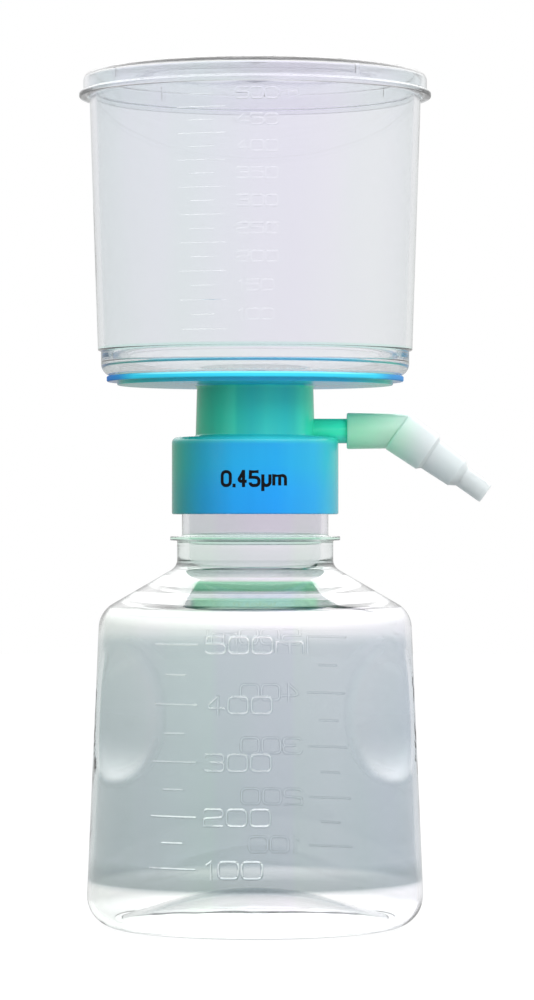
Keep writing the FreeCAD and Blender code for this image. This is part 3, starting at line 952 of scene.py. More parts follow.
@dataclass(frozen=True)
class ClearStyrene:
    """Clear moulded styrene, tinted by height, across and on its front, with painted light, painted shade
    and painted refraction in these tints, and greyer where the eye looks along its wall.
    """

    name: str
    bands: Bands
    edge: Colour
    wave_scale: float
    wave_depth: float
    painted_light_across: Bands = ()
    front_painted_shade: Bands = ()
    roughness: float = 0.015
    ior: float = 1.57
    gloss: float = 0.5
    edge_power: float = 2.5
    drift: tuple[Colour, Colour] = ((0.97, 0.99, 0.97), (1.0, 0.985, 1.0))
    drift_scale: float = 26.0
    lamp_tint: Colour = (0.93, 0.95, 0.95)
    # the radius and tint of a painted shade in the middle
    gate_shade_radius: float = 0.0
    gate_painted_shade: Colour = (0.12, 0.14, 0.19)
    painted_refraction_bands: Bands = ()
    glow_reach: float = 0.0
    glow_face: Point = (22.4, 103.1, 0.5785)
    glow_roughness: float = 0.045
    bead_ground: float = 0.0
    bead_slope: float = 0.0
    bead_rise: float = 0.0
    # the painted shade and the painted highlight of raised marks
    bead_painted_shade: Colour = (0.70, 0.73, 0.74)
    bead_painted_highlight: Colour = (1.34, 1.32, 1.30)

    def material(self) -> bpy.types.Material:
        """Build the finish.

        Returns:
            The material.
        """
        paint = Paint(self.name)
        whole, place = paint.place()
        across, depth, height = place
        tint = paint.bands(height, self.bands)
        # painted light and shade across the piece, from left to right
        if self.painted_light_across:
            tint = paint.tinted(tint, paint.bands(across, self.painted_light_across))
        # painted shade on the front half of the piece only
        if self.front_painted_shade:
            before = paint.sum("LESS_THAN", depth, 0.0)
            tint = paint.tinted(tint, paint.bands(height, self.front_painted_shade), before)
        streak = paint.noise(paint.drawn_out(whole, 0.15), self.drift_scale, 3.0)
        tint = paint.tinted(tint, paint.blend(paint.ramp(streak, 0.38, 0.62), *self.drift))
        # a painted shade over the middle, where the lid's gate dimple is
        if self.gate_shade_radius:
            rim = (self.gate_shade_radius - 0.3, self.gate_shade_radius)
            centre = paint.falling(paint.reach(across, depth), rim)
            tint = paint.tinted(tint, self.gate_painted_shade, centre)
        roughness: Socket | float = self.roughness
        # painted refraction of the tube behind, on the shoulder
        if self.painted_refraction_bands:
            tint, roughness = self.glow(paint, tint, place)
        if self.bead_rise:
            tint = self.beads(paint, tint, place)
        facing = paint.node("LayerWeight", {"Blend": 0.5}).outputs["Facing"]
        tint = paint.tinted(tint, self.edge, paint.sum("POWER", facing, self.edge_power))
        glass = paint.node(
            "BsdfPrincipled",
            {
                "Base Color": tint,
                "Roughness": roughness,
                "IOR": self.ior,
                "Specular IOR Level": self.gloss,
                "Transmission Weight": 1.0,
                "Normal": paint.waves(whole, self.wave_scale, self.wave_depth),
            },
        )
        return paint.done(paint.let_lamps_through(glass.outputs[0], self.lamp_tint))

    def glow(self, paint: Paint, tint: Socket, place: Sequence[Socket]) -> tuple[Socket, Socket]:
        """Paint green bands on the front of the outer face, a painted refraction of the tube behind.

        Args:
            paint: The finish being built.
            tint: The tint so far.
            place: The piece's coordinates.

        Returns:
            The tint with the bands, and the roughness, which is higher among them.
        """
        across, depth, height = place
        sides = (self.glow_reach - 1, self.glow_reach + 1)
        between = paint.falling(paint.sum("ABSOLUTE", across), sides)
        along, level, fall = self.glow_face
        face = paint.sum("MULTIPLY_ADD", height, -1.0 / fall, (along + level / fall - 0.6) * MM)
        outside = paint.sum("GREATER_THAN", paint.reach(across, depth), face)
        near = paint.times(paint.sum("LESS_THAN", depth, 0.0), outside)
        lit = paint.times(between, near)
        tint = paint.tinted(tint, paint.bands(height, self.painted_refraction_bands), lit)
        low, high = self.painted_refraction_bands[0][0], self.painted_refraction_bands[-1][0]
        below = paint.sum("LESS_THAN", height, high * MM)
        inside = paint.times(paint.rising(height, (low - 1.0, low)), below)
        return tint, paint.sum("MULTIPLY_ADD", inside, self.glow_roughness, self.roughness)

    def beads(self, paint: Paint, tint: Socket, place: Sequence[Socket]) -> Socket:
        """Paint shade on the flanks of raised marks, and a painted highlight on their crests where these
        don't face up.

        Args:
            paint: The finish being built.
            tint: The tint so far.
            place: The piece's coordinates.

        Returns:
            The tint of the marks.
        """
        across, depth, height = place
        ground = paint.sum("MULTIPLY_ADD", height, self.bead_slope, self.bead_ground * MM)
        proud = paint.sum("SUBTRACT", paint.reach(across, depth), ground)
        crest = paint.ramp(paint.sum("DIVIDE", proud, self.bead_rise * MM), 0.45, 0.95)
        up = paint.node("SeparateXYZ", {0: paint.node("TexCoord").outputs["Normal"]}).outputs[2]
        # the painted highlight falls on crests that don't face up, the painted shade everywhere else
        core = paint.times(crest, paint.sum("SUBTRACT", 1.0, paint.ramp(up, 0.0, 0.7)))
        return paint.tinted(tint, paint.blend(core, self.bead_painted_shade, self.bead_painted_highlight))


@dataclass(frozen=True)
class BlueMoulding:
    """Translucent blue plastic, teal in its thin tube and green in its bore, with painted shade that
    makes one side darker and greener, painted light on the other, painted highlight stripes on the tube
    and a painted lit band on the collar's rounded top.
    """

    name: str = "translucent_blue_moulding"
    # The collar's blue, with painted shade that makes its left side darker and greener and painted light
    # that makes its right side lighter.
    collar_colour_and_painted_light: Bands = (
        (-23.9, (0.010, 0.30, 0.20)),
        (-21.0, (0.005, 0.28, 0.25)),
        (-15.0, (0.006, 0.30, 0.50)),
        (-6.0, (0.010, 0.36, 0.78)),
        (6.0, (0.012, 0.37, 0.86)),
        (17.0, (0.030, 0.48, 0.86)),
        (23.9, (0.060, 0.62, 0.66)),
    )
    # The tube's teal, with painted highlight stripes and painted light along its right side and on the
    # stub.
    tube_colour_and_painted_light: Bands = (
        (-17.0, (0.006, 0.46, 0.22)),
        (-15.5, (0.010, 0.45, 0.26)),
        (-12.2, (0.008, 0.44, 0.29)),
        (-8.8, (0.016, 0.56, 0.38)),
        (-5.9, (0.030, 0.65, 0.47)),
        (-4.8, (0.016, 0.57, 0.47)),
        (-0.8, (0.018, 0.58, 0.55)),
        (3.1, (0.036, 0.71, 0.63)),
        (8.8, (0.028, 0.67, 0.66)),
        (11.0, (0.032, 0.70, 0.63)),
        (13.3, (0.060, 0.88, 0.66)),
        (16.0, (0.070, 0.94, 0.60)),
        (24.0, (0.060, 0.96, 0.62)),
        (38.0, (0.060, 0.96, 0.66)),
    )
    # The deck's blue, with painted shade that darkens it at both tips.
    deck_colour_and_painted_shade: Bands = (
        (-40.5, (0.02, 0.16, 0.46)),
        (-38.0, (0.02, 0.42, 0.34)),
        (-20.0, (0.02, 0.45, 0.62)),
        (0.0, (0.03, 0.48, 0.80)),
        (25.0, (0.03, 0.50, 0.78)),
        (38.0, (0.06, 0.66, 0.50)),
        (40.5, (0.06, 0.30, 0.68)),
    )
    collar_up: Bands = (
        (119.0, (1.0, 0.86, 1.0)),
        (125.0, (1.0, 0.90, 1.0)),
        (132.0, (1.0, 1.0, 0.92)),
        (138.0, (1.0, 1.0, 0.90)),
    )
    # Painted light on the collar's rounded top edge.
    brow_painted_light: Bands = (
        (-17.5, (0.020, 0.38, 0.34)),
        (-8.0, (0.030, 0.50, 0.57)),
        (3.0, (0.045, 0.60, 0.67)),
        (15.0, (0.050, 0.62, 0.66)),
        (23.0, (0.060, 0.78, 0.62)),
    )
    bore_green: Colour = (0.01, 0.50, 0.22)
    flow_tint: Colour = (0.80, 0.86, 0.90)
    lamp_tint: Colour = (0.25, 0.55, 0.6)
    roof_span: Flat = (137.2, 137.6)
    brow_span: Flat = (137.6, 139.6)
    tube_span: Flat = (140.0, 141.2)
    deck_span: Flat = (154.6, 155.1)
    bore_span: Flat = (22.9, 23.4)
    clearness: float = 0.12
    tube_clearness: float = 0.15

    def material(self) -> bpy.types.Material:
        """Build the finish.

        Returns:
            The material.
        """
        paint = Paint(self.name)
        whole, (across, depth, height) = paint.place()
        in_tube = paint.rising(height, self.tube_span)
        lower = paint.bands(across, self.collar_colour_and_painted_light)
        collar = paint.tinted(lower, paint.bands(height, self.collar_up))
        # painted light on the collar's rounded top
        brow = paint.rising(height, self.brow_span)
        collar = paint.blend(brow, collar, paint.bands(across, self.brow_painted_light))
        colour = paint.blend(in_tube, collar, paint.bands(across, self.tube_colour_and_painted_light))
        at_deck = paint.rising(height, self.deck_span)
        colour = paint.blend(at_deck, colour, paint.bands(across, self.deck_colour_and_painted_shade))
        inside = paint.falling(paint.reach(across, depth), self.bore_span)
        low_down = paint.falling(height, self.roof_span)
        colour = paint.blend(paint.times(inside, low_down), colour, self.bore_green)
        flow = paint.noise(paint.drawn_out(whole, 0.12), 160.0, 2.0)
        colour = paint.tinted(colour, self.flow_tint, paint.times(paint.ramp(flow, 0.35, 0.65), 0.3))
        clearer = self.tube_clearness - self.clearness
        shell = paint.node(
            "BsdfPrincipled",
            {
                "Base Color": colour,
                "Roughness": 0.20,
                "IOR": 1.5,
                "Specular IOR Level": 0.25,
                "Transmission Weight": paint.sum("MULTIPLY_ADD", in_tube, clearer, self.clearness),
                "Normal": paint.waves(whole, 90.0, 0.00004),
            },
        )
        return paint.done(paint.let_lamps_through(shell.outputs[0], self.lamp_tint))


@dataclass(frozen=True)
class DeepRim:
    """The blue of the flange's rim, with painted shade that deepens it where the disc is seen edge on,
    and a painted highlight along the top of its front.
    """

    name: str = "deep_blue_rim"
    # painted shade deepens the blue towards both tips
    across: Bands = (
        (-42.6, (0.016, 0.125, 0.42)),
        (-38.5, (0.020, 0.22, 0.52)),
        (-34.0, (0.03, 0.52, 0.72)),
        (0.0, (0.05, 0.62, 0.86)),
        (34.0, (0.05, 0.58, 0.80)),
        (38.5, (0.06, 0.30, 0.62)),
        (42.6, (0.07, 0.26, 0.60)),
    )
    flow_tint: Colour = (0.75, 0.85, 0.90)
    brim_painted_highlight: Colour = (0.25, 0.82, 0.94)
    brim_span: Flat = (157.0, 157.4)
    middle_span: Flat = (24.0, 37.0)

    def material(self) -> bpy.types.Material:
        """Build the finish.

        Returns:
            The material.
        """
        paint = Paint(self.name)
        whole, (across, _, height) = paint.place()
        flow = paint.times(paint.noise(whole, 120.0, 2.0), 0.3)
        colour = paint.tinted(paint.bands(across, self.across), self.flow_tint, flow)
        # a painted highlight along the top of the rim's front
        middle = paint.falling(paint.sum("ABSOLUTE", across), self.middle_span)
        brim = paint.times(middle, paint.rising(height, self.brim_span))
        colour = paint.blend(brim, colour, self.brim_painted_highlight)
        skin = paint.node(
            "BsdfPrincipled",
            {
                "Base Color": colour,
                "Roughness": 0.5,
                "IOR": 1.5,
                "Specular IOR Level": 0.05,
                "Normal": paint.waves(whole, 90.0, 0.00003),
            },
        )
        return paint.done(skin.outputs[0])


@dataclass(frozen=True)
class MilkyPolymer:
    """Milky satin plastic, with a painted green glow of the coloured stub's light, strongest at its
    sleeve's mouth and fading past the stub.
    """

    name: str = "milky_hose_plastic"
    milk: Colour = (0.59, 0.64, 0.65)
    # the colour of the painted glow from the green stub
    green: Colour = (0.38, 1.0, 0.56)
    stub_span: Flat = (26.0, 50.0)

    def material(self) -> bpy.types.Material:
        """Build the finish.

        Returns:
            The material.
        """
        paint = Paint(self.name)
        whole, (along, _, _) = paint.place()
        colour = paint.blend(paint.falling(along, self.stub_span), self.milk, self.green)
        skin = paint.node(
            "BsdfPrincipled",
            {
                "Base Color": colour,
                "Roughness": 0.30,
                "IOR": 1.51,
                "Specular IOR Level": 0.3,
                "Subsurface Weight": 1.0,
                "Subsurface Radius": (1.0, 1.0, 1.0),
                "Subsurface Scale": 0.004,
                "Transmission Weight": 0.12,
                "Normal": paint.waves(whole, 400.0, 0.00002, 3.0),
            },
        )
        return paint.done(skin.outputs[0])


@dataclass(frozen=True)
class FineTexture:
    """An opaque or soft finish whose grain is a fine noise."""

    name: str
    colour: Colour
    second: Colour
    roughness: float
    grain_scale: float
    grain_depth: float
    subsurface: float = 0.0
    clearness: float = 0.0
    gloss: float = 0.5

    def material(self) -> bpy.types.Material:
        """Build the finish.

        Returns:
            The material.
        """
        paint = Paint(self.name)
        whole, _ = paint.place()
        colour = paint.blend(paint.noise(whole, self.grain_scale, 4.0), self.colour, self.second)
        skin = paint.node(
            "BsdfPrincipled",
            {
                "Base Color": colour,
                "Roughness": self.roughness,
                "Specular IOR Level": self.gloss,
                "Subsurface Weight": self.subsurface,
                "Subsurface Radius": (1.0, 1.0, 1.0),
                "Subsurface Scale": 0.001,
                "Transmission Weight": self.clearness,
                "Normal": paint.waves(whole, self.grain_scale, self.grain_depth, 3.0),
            },
        )
        return paint.done(skin.outputs[0])


# The bottle's tint by height: a grey body tint that is partly the plastic's own tone and partly painted
# shade of darker surroundings seen through it, painted light in white at the foot and over the shoulder,
# a painted dark band of shade at the neck's fillet, and a green line at the ring.
BODY_TINT_AND_PAINTED_LIGHT: Bands = (
    (0.0, (1.0, 1.0, 1.0)),
    (12.1, (1.0, 1.0, 1.0)),
    (13.8, (0.635, 0.685, 0.705)),
    (24.0, (0.655, 0.705, 0.725)),
    (40.0, (0.68, 0.73, 0.75)),
    (80.0, (0.735, 0.78, 0.80)),
    (81.6, (0.75, 0.795, 0.815)),
    (83.2, (0.86, 0.89, 0.90)),
    (84.6, (0.95, 0.96, 0.97)),
    (87.5, (1.0, 1.0, 1.0)),
    (100.6, (1.0, 1.0, 1.0)),
    (101.6, (0.60, 0.66, 0.66)),
    (104.4, (0.60, 0.66, 0.66)),
    (105.2, (0.84, 0.87, 0.87)),
    (110.2, (0.90, 0.91, 0.92)),
    (110.7, (0.66, 0.87, 0.77)),
    (111.7, (0.66, 0.87, 0.77)),
    (112.4, (0.80, 0.785, 0.83)),
    (136.0, (0.80, 0.785, 0.83)),
)
# Painted refraction: green bands on the shoulder where the green tube behind shows through it.
SHOULDER_PAINTED_REFRACTION: Bands = (
    (91.6, (1.0, 1.0, 1.0)),
    (92.1, (0.42, 0.92, 0.56)),
    (94.4, (0.34, 0.85, 0.46)),
    (94.9, (1.0, 1.0, 1.0)),
    (96.2, (1.0, 1.0, 1.0)),
    (96.7, (0.12, 0.52, 0.24)),
    (99.0, (0.15, 0.58, 0.28)),
    (99.6, (1.0, 1.0, 1.0)),
)
# A painted reflection of the room across the bottle and its marks: darker towards the left, a purplish
# band down the middle and lightest to the right of it.
BODY_ACROSS_PAINTED_REFLECTION: Bands = (
    (-46.0, (0.89, 0.90, 0.89)),
    (-20.0, (0.950, 0.970, 0.955)),
    (-12.0, (0.955, 0.975, 0.960)),
    (-11.2, (0.962, 0.958, 0.972)),
    (0.0, (0.972, 0.966, 0.980)),
    (10.6, (0.984, 0.976, 0.992)),
    (11.4, (0.982, 0.990, 0.980)),
    (22.0, (1.0, 1.0, 1.0)),
    (46.0, (0.97, 0.975, 1.0)),
)
# A painted dark band of shade on the front only, just above the foot.
BODY_FRONT_PAINTED_SHADE: Bands = (
    (13.2, (1.0, 1.0, 1.0)),
    (14.0, (0.66, 0.69, 0.69)),
    (17.0, (0.72, 0.75, 0.75)),
    (20.5, (1.0, 1.0, 1.0)),
)
BOTTLE_FINISH = ClearStyrene(
    "blown_styrene",
    BODY_TINT_AND_PAINTED_LIGHT,
    (0.92, 0.95, 0.95),
    painted_light_across=BODY_ACROSS_PAINTED_REFLECTION,
    front_painted_shade=BODY_FRONT_PAINTED_SHADE,
    wave_scale=55.0,
    wave_depth=0.00012,
    painted_refraction_bands=SHOULDER_PAINTED_REFRACTION,
    glow_reach=17.5,
)
FOOT_FINISH = ClearStyrene(
    "foot_styrene",
    ((0.0, (1.0, 1.0, 1.0)), (12.0, (1.0, 1.0, 1.0))),
    (0.97, 0.98, 1.0),
    wave_scale=70.0,
    wave_depth=0.0001,
    ior=1.14,
)
BOTTLE_BEADS = ClearStyrene(
    "raised_scale_styrene",
    BODY_TINT_AND_PAINTED_LIGHT,
    (0.92, 0.94, 0.95),
    painted_light_across=BODY_ACROSS_PAINTED_REFLECTION,
    wave_scale=55.0,
    wave_depth=0.00004,
    bead_ground=48.6,
    bead_slope=-3.9 / 90.2,
    bead_rise=0.22,
    gloss=0.12,
)
# The cup's tint by height, with a green line at the step that is a painted refraction of the blue base
# below.
CUP_TINT_AND_PAINTED_LINE: Bands = (
    (157.0, (0.93, 0.93, 0.945)),
    (164.2, (0.93, 0.93, 0.945)),
    (164.8, (0.72, 0.92, 0.86)),
    (165.4, (0.72, 0.92, 0.86)),
    (166.0, (0.91, 0.92, 0.93)),
    (244.0, (0.92, 0.925, 0.95)),
)
# Painted shade across the cup: darker towards the left, lightest at the right.
CUP_ACROSS_PAINTED_SHADE: Bands = (
    (-46.0, (0.945, 0.955, 0.965)),
    (-15.0, (0.96, 0.965, 0.985)),
    (12.0, (0.97, 0.97, 0.99)),
    (34.0, (1.0, 1.0, 1.0)),
)
CUP_FINISH = ClearStyrene(
    "cup_styrene",
    CUP_TINT_AND_PAINTED_LINE,
    (0.86, 0.88, 0.90),
    painted_light_across=CUP_ACROSS_PAINTED_SHADE,
    wave_scale=40.0,
    wave_depth=0.00005,
)
CUP_BEADS = ClearStyrene(
    "faint_scale_styrene",
    tuple((place, tuple(min(0.99, 1.05 * part) for part in colour)) for place, colour in CUP_TINT_AND_PAINTED_LINE),
    (0.97, 0.98, 0.98),
    painted_light_across=CUP_ACROSS_PAINTED_SHADE,
    wave_scale=40.0,
    wave_depth=0.00003,
    gloss=0.12,
)
# The lid's dark middle is a painted shade in its gate dimple.
LID_FINISH = ClearStyrene(
    "lid_styrene",
    ((236.0, (0.93, 0.94, 0.955)), (245.0, (0.93, 0.94, 0.955))),
    (0.78, 0.82, 0.87),
    wave_scale=40.0,
    wave_depth=0.00004,
    gate_shade_radius=6.9,
)
SEAL_FINISH = FineTexture(
    "silicone_seal",
    (0.80, 0.83, 0.83),
    (0.86, 0.88, 0.88),
    roughness=0.5,
    grain_scale=900.0,
    grain_depth=0.00002,
    subsurface=0.5,
    clearness=0.2,
)
SUPPORT_FINISH = FineTexture(
    "support_plastic",
    (0.86, 0.88, 0.87),
    (0.92, 0.93, 0.92),
    roughness=0.45,
    grain_scale=500.0,
    grain_depth=0.00002,
    subsurface=0.3,
)
MEMBRANE_FINISH = FineTexture(
    "membrane_sheet",
    (0.90, 0.90, 0.89),
    (0.97, 0.97, 0.96),
    roughness=0.85,
    grain_scale=6000.0,
    grain_depth=0.00001,
    subsurface=0.2,
)
PLUG_FINISH = FineTexture(
    "fibre_plug",
    (0.88, 0.88, 0.86),
    (0.97, 0.97, 0.95),
    roughness=0.95,
    grain_scale=4000.0,
    grain_depth=0.0001,
    subsurface=0.2,
)
INK_FINISH = FineTexture(
    "black_print",
    (0.003, 0.003, 0.004),
    (0.010, 0.010, 0.011),
    roughness=0.85,
    grain_scale=3000.0,
    grain_depth=0.000005,
    gloss=0.05,
)


# ---------------------------------------------------------------- receiver bottle


@dataclass(frozen=True)
class Dent:
    """A finger dent: an ellipsoid pressed into the wall, eased at its rim."""

    azimuth: float
    height: float
    wall_radius: float
    depth: float = 4.6
    tool: Point = (8.0, 40.6, 20.2)
    ease: float = 1.2
    nearest_cosine: float = 0.5

    def pressed(self, radius: float, azimuth: float, height: float, growth: float) -> float:
        """How far out the wall lies after the press.

        Args:
            radius: The wall's radius before it.
            azimuth: The azimuth from the front, in degrees.
            height: The height.
            growth: The wall's thickness for its inner face, or nought.

        Returns:
            The wall's radius after the press.
        """
        away = math.radians(azimuth - self.azimuth)
        if math.cos(away) < self.nearest_cosine:
            return radius
        deep, wide, tall = (size + growth for size in self.tool)
        reach = self.wall_radius + self.tool[0] - self.depth
        square = (math.cos(away) / deep) ** 2 + (math.sin(away) / wide) ** 2
        linear = -2 * reach * math.cos(away) / deep**2
        rest = (reach / deep) ** 2 + ((height - self.height) / tall) ** 2 - 1
        under = linear**2 - 4 * square * rest
        if under < 0:
            return radius
        near = (-linear - math.sqrt(under)) / (2 * square)
        share = min(1.0, max(0.0, 0.5 + 0.5 * (near - radius) / self.ease))
        return near + (radius - near) * share - self.ease * share * (1 - share)


@dataclass
class ReceiverBottle:
    """Clear bottle with its dents, moulded scale front and back, and neck thread."""

    foot_radius: float = 48.6
    foot_round: float = 9.0
    ring_inner: float = 38.6
    floor_rise: float = 9.3
    shoulder_radius: float = 44.7
    shoulder_height: float = 90.2
    shoulder_round: float = 8.0
    neck_base_radius: float = 22.4
    neck_base_height: float = 103.1
    neck_base_round: float = 3.5
    ring_radius: float = 24.4
    ring_bottom: float = 110.6
    ring_top: float = 111.8
    neck_radius: float = 21.0
    neck_wall: float = 1.9
    lip_height: float = 135.6
    wall: float = 1.5
    dent_azimuths: tuple[float, ...] = (60.0, 120.0, 240.0, 300.0)
    dent_height: float = 62.5
    dent_run: float = 1.25
    wall_run: float = 2.6
    dent_half_sweep: float = 27.5
    dent_half_rise: float = 21.5
    press_half_rise: float = 26.0
    press_inside: float = 40.0
    fine_half_sweep: float = 28.0
    fine_step: float = 1.125
    plain_step: float = 2.25
    scale: Ladder = Ladder(
        count=9,
        first=19.8,
        rise=7.0,
        growth=0.095,
        azimuth=-28.95,
        long_sweep=17.7,
        short_sweep=8.1,
        bead=0.46,
    )
    scale_sunk: float = 0.28
    scale_amounts: tuple[str, ...] = ("100", "200", "300", "400", "500ml")
    neck_thread: Winding = Winding(turns=2.2, radius=21.1, start=121.5, crest=1.1)
    shoulder_waves: tuple[tuple[float, float, float], ...] = (
        (25.6, 0.0, 3.0),
        (28.2, 0.45, 1.5),
        (33.6, 0.0, 1.5),
        (35.8, 0.55, 1.5),
        (41.0, 0.0, 3.0),
    )

    def outline(self) -> list[Flat]:
        """The closed outline of the wall, from under the floor to inside it."""
        fall = self.neck_base_height - self.shoulder_height
        slope = fall / (self.shoulder_radius - self.neck_base_radius)
        drop = self.wall * math.hypot(slope, 1.0)
        bore = self.neck_radius - self.neck_wall
        inner_shoulder = self.shoulder_height + slope * self.wall - drop
        inner_neck = self.neck_base_height + slope * (self.neck_base_radius - bore) - drop
        corners: list[Corner] = [
            *dome(self.ring_inner, 0.0, self.floor_rise),
            (self.ring_inner, 0.0, 0.5),
            (self.foot_radius, 0.0, self.foot_round),
            (self.shoulder_radius, self.shoulder_height, self.shoulder_round),
            (self.neck_base_radius, self.neck_base_height, self.neck_base_round),
            (self.neck_base_radius, self.ring_bottom, 0.4),
            (self.ring_radius, self.ring_bottom, 0.35),
            (self.ring_radius, self.ring_top, 0.35),
            (self.neck_radius, self.ring_top, 0.5),
            (self.neck_radius, self.lip_height, 0.5),
            (bore, self.lip_height, 0.5),
            (bore, inner_neck, self.neck_base_round + self.wall),
            *(
                (radius, inner_neck - slope * (radius - bore) - extra, ease)
                for radius, extra, ease in self.shoulder_waves
            ),
            (self.shoulder_radius - self.wall, inner_shoulder, self.shoulder_round - self.wall),
            (self.foot_radius - self.wall, self.wall, self.foot_round - self.wall),
            (self.ring_inner, self.wall, 0.5),
            *reversed(dome(self.ring_inner, self.wall, self.floor_rise + self.wall)),
        ]
        reach = Dent.tool[2] + 2 * self.wall
        path = rounded_path(corners, closed=True, steps=10)
        path = in_short_runs(path, self.dent_run, self.dent_height - reach, self.dent_height + reach)
        return in_short_runs(path, self.wall_run, *self.plain_span)

    @property
    def slope(self) -> float:
        """How much the outer wall's radius grows with height."""
        return -(self.foot_radius - self.shoulder_radius) / self.shoulder_height

    @property
    def plain_span(self) -> Flat:
        """The heights between which the wall is a plain cone."""
        return self.foot_round, self.shoulder_height - 5.0

    def from_dents(self, azimuth: float) -> float:
        """How far an azimuth from the front is from the nearest dent's middle, in degrees."""
        return min(abs(azimuth % 360.0 - spot) for spot in self.dent_azimuths)

    def wall_azimuths(self) -> list[float]:
        """Azimuths that crowd together where the dents are."""
        found: list[float] = []
        angle = 0.0
        while angle < 360.0:
            found.append(math.radians(angle))
            fine = self.from_dents(angle + 90.0) < self.fine_half_sweep
            angle += self.fine_step if fine else self.plain_step
        return found

    def away_from_dents(self, middle: Vector) -> bool:
        """Whether the wall is plain, and clear of the dents, at a point.

        Args:
            middle: The point, in millimetres.

        Returns:
            True on the plain wall.
        """
        if math.hypot(middle.x, middle.y) < self.shoulder_radius - 2.7:
            return False
        aside = self.from_dents(math.degrees(math.atan2(middle.x, -middle.y)))
        return aside > self.dent_half_sweep or abs(middle.z - self.dent_height) > self.dent_half_rise

    def wall_radius_at(self, height: float) -> float:
        """The outer radius of the tapered wall."""
        taper = self.foot_radius - self.shoulder_radius
        return self.foot_radius - taper * height / self.shoulder_height

    def dented(self, shell: Shell, marks: bool = False) -> Shell:
        """Press the four dents into both faces of the wall, or let marks on the wall follow them.

        Args:
            shell: The wall, or marks that stand on its outer face.
            marks: Whether the shell is marks on the wall.

        Returns:
            The pressed shell.
        """
        radius_there = self.wall_radius_at(self.dent_height)
        dents = [Dent(spot, self.dent_height, radius_there) for spot in self.dent_azimuths]

        def press(point: Point) -> Point:
            """Move one point in with the wall.

            Args:
                point: A point of the wall, or of a mark on it.

            Returns:
                Where the point ends up.
            """
            x, y, z = point
            radius = math.hypot(x, y)
            if abs(z - self.dent_height) > self.press_half_rise or radius < self.press_inside:
                return point
            ground = self.wall_radius_at(z) if marks else radius
            growth = 0.0 if marks or radius > self.wall_radius_at(z) - self.wall / 2 else self.wall
            azimuth = math.degrees(math.atan2(x, -y)) % 360.0
            pressed = min(dent.pressed(ground, azimuth, z, growth) for dent in dents)
            share = (radius + min(0.0, pressed - ground)) / radius
            return (x * share, y * share, z)

        return shell.shaped(press)

    def scale_parts(
        self, ticks: Recipe, ring: Recipe, finish: bpy.types.Material
    ) -> list[bpy.types.Object]:
        """The moulded scale, front and back, in shells that don't cross within one object.

        Args:
            ticks: The recipe for level marks.
            ring: The recipe for copies round an axis.
            finish: The scale's material.

        Returns:
            The parts of the scale.
        """
        figures = Figures(4.6, 1.0, 0.54, 0.50, -17.4, self.foot_radius, self.slope, sunk=self.scale_sunk)
        levels = (self.scale.level(step) for step in range(0, self.scale.count, 2))
        layers = figures.lines(zip(self.scale_amounts, levels))
        ground = self.foot_radius - self.scale_sunk
        marks = self.scale.made("bottle_marks", ticks, ground, self.slope, finish)
        for vert in marks.data.vertices:
            spot = Shell([tuple(vert.co / MM)])
            vert.co = Vector(self.dented(spot, marks=True).points[0]) * MM
        parts = [make_object(f"figures_{order}", layer) for order, layer in enumerate(layers)]
        return [
            ring.made(f"{part.name}_round", {"Count": 2, "First angle": 0.0, "Material": finish}, part)
            for part in (*parts, marks)
        ]

    def build(self, ticks: Recipe, ring: Recipe, thread: Recipe) -> bpy.types.Object:
        """Build the bottle with its scale and thread worked into the wall.

        Args:
            ticks: The recipe for level marks.
            ring: The recipe for copies round an axis.
            thread: The recipe for screw threads.

        Returns:
            The bottle.
        """
        clear = BOTTLE_FINISH.material()
        wall = self.dented(turned(self.outline(), self.wall_azimuths()))
        raised = BOTTLE_BEADS.material()
        bottle = make_object("receiver_bottle_clear", wall, clear, raised, FOOT_FINISH.material())
        foot_reach, foot_top = self.ring_inner + 2.0, self.floor_rise + self.wall + 0.8
        for face in bottle.data.polygons:
            middle = face.center / MM
            if math.hypot(middle.x, middle.y) < foot_reach and middle.z < foot_top:
                face.material_index = 2
        for part in self.scale_parts(ticks, ring, raised):
            work_in(bottle, part, Fuse.JOIN, slot=1)
        work_in(bottle, self.neck_thread.made("neck_thread", thread, clear), Fuse.JOIN)
        finish_piece(bottle, Body.BOTTLE, ["receiver_bottle"], crease=30.0)
        middle_wall = self.foot_radius - self.wall / 2
        follow_cone(bottle.data, self.slope, middle_wall, self.plain_span, self.away_from_dents)
        return bottle


# ---------------------------------------------------------------- filter base


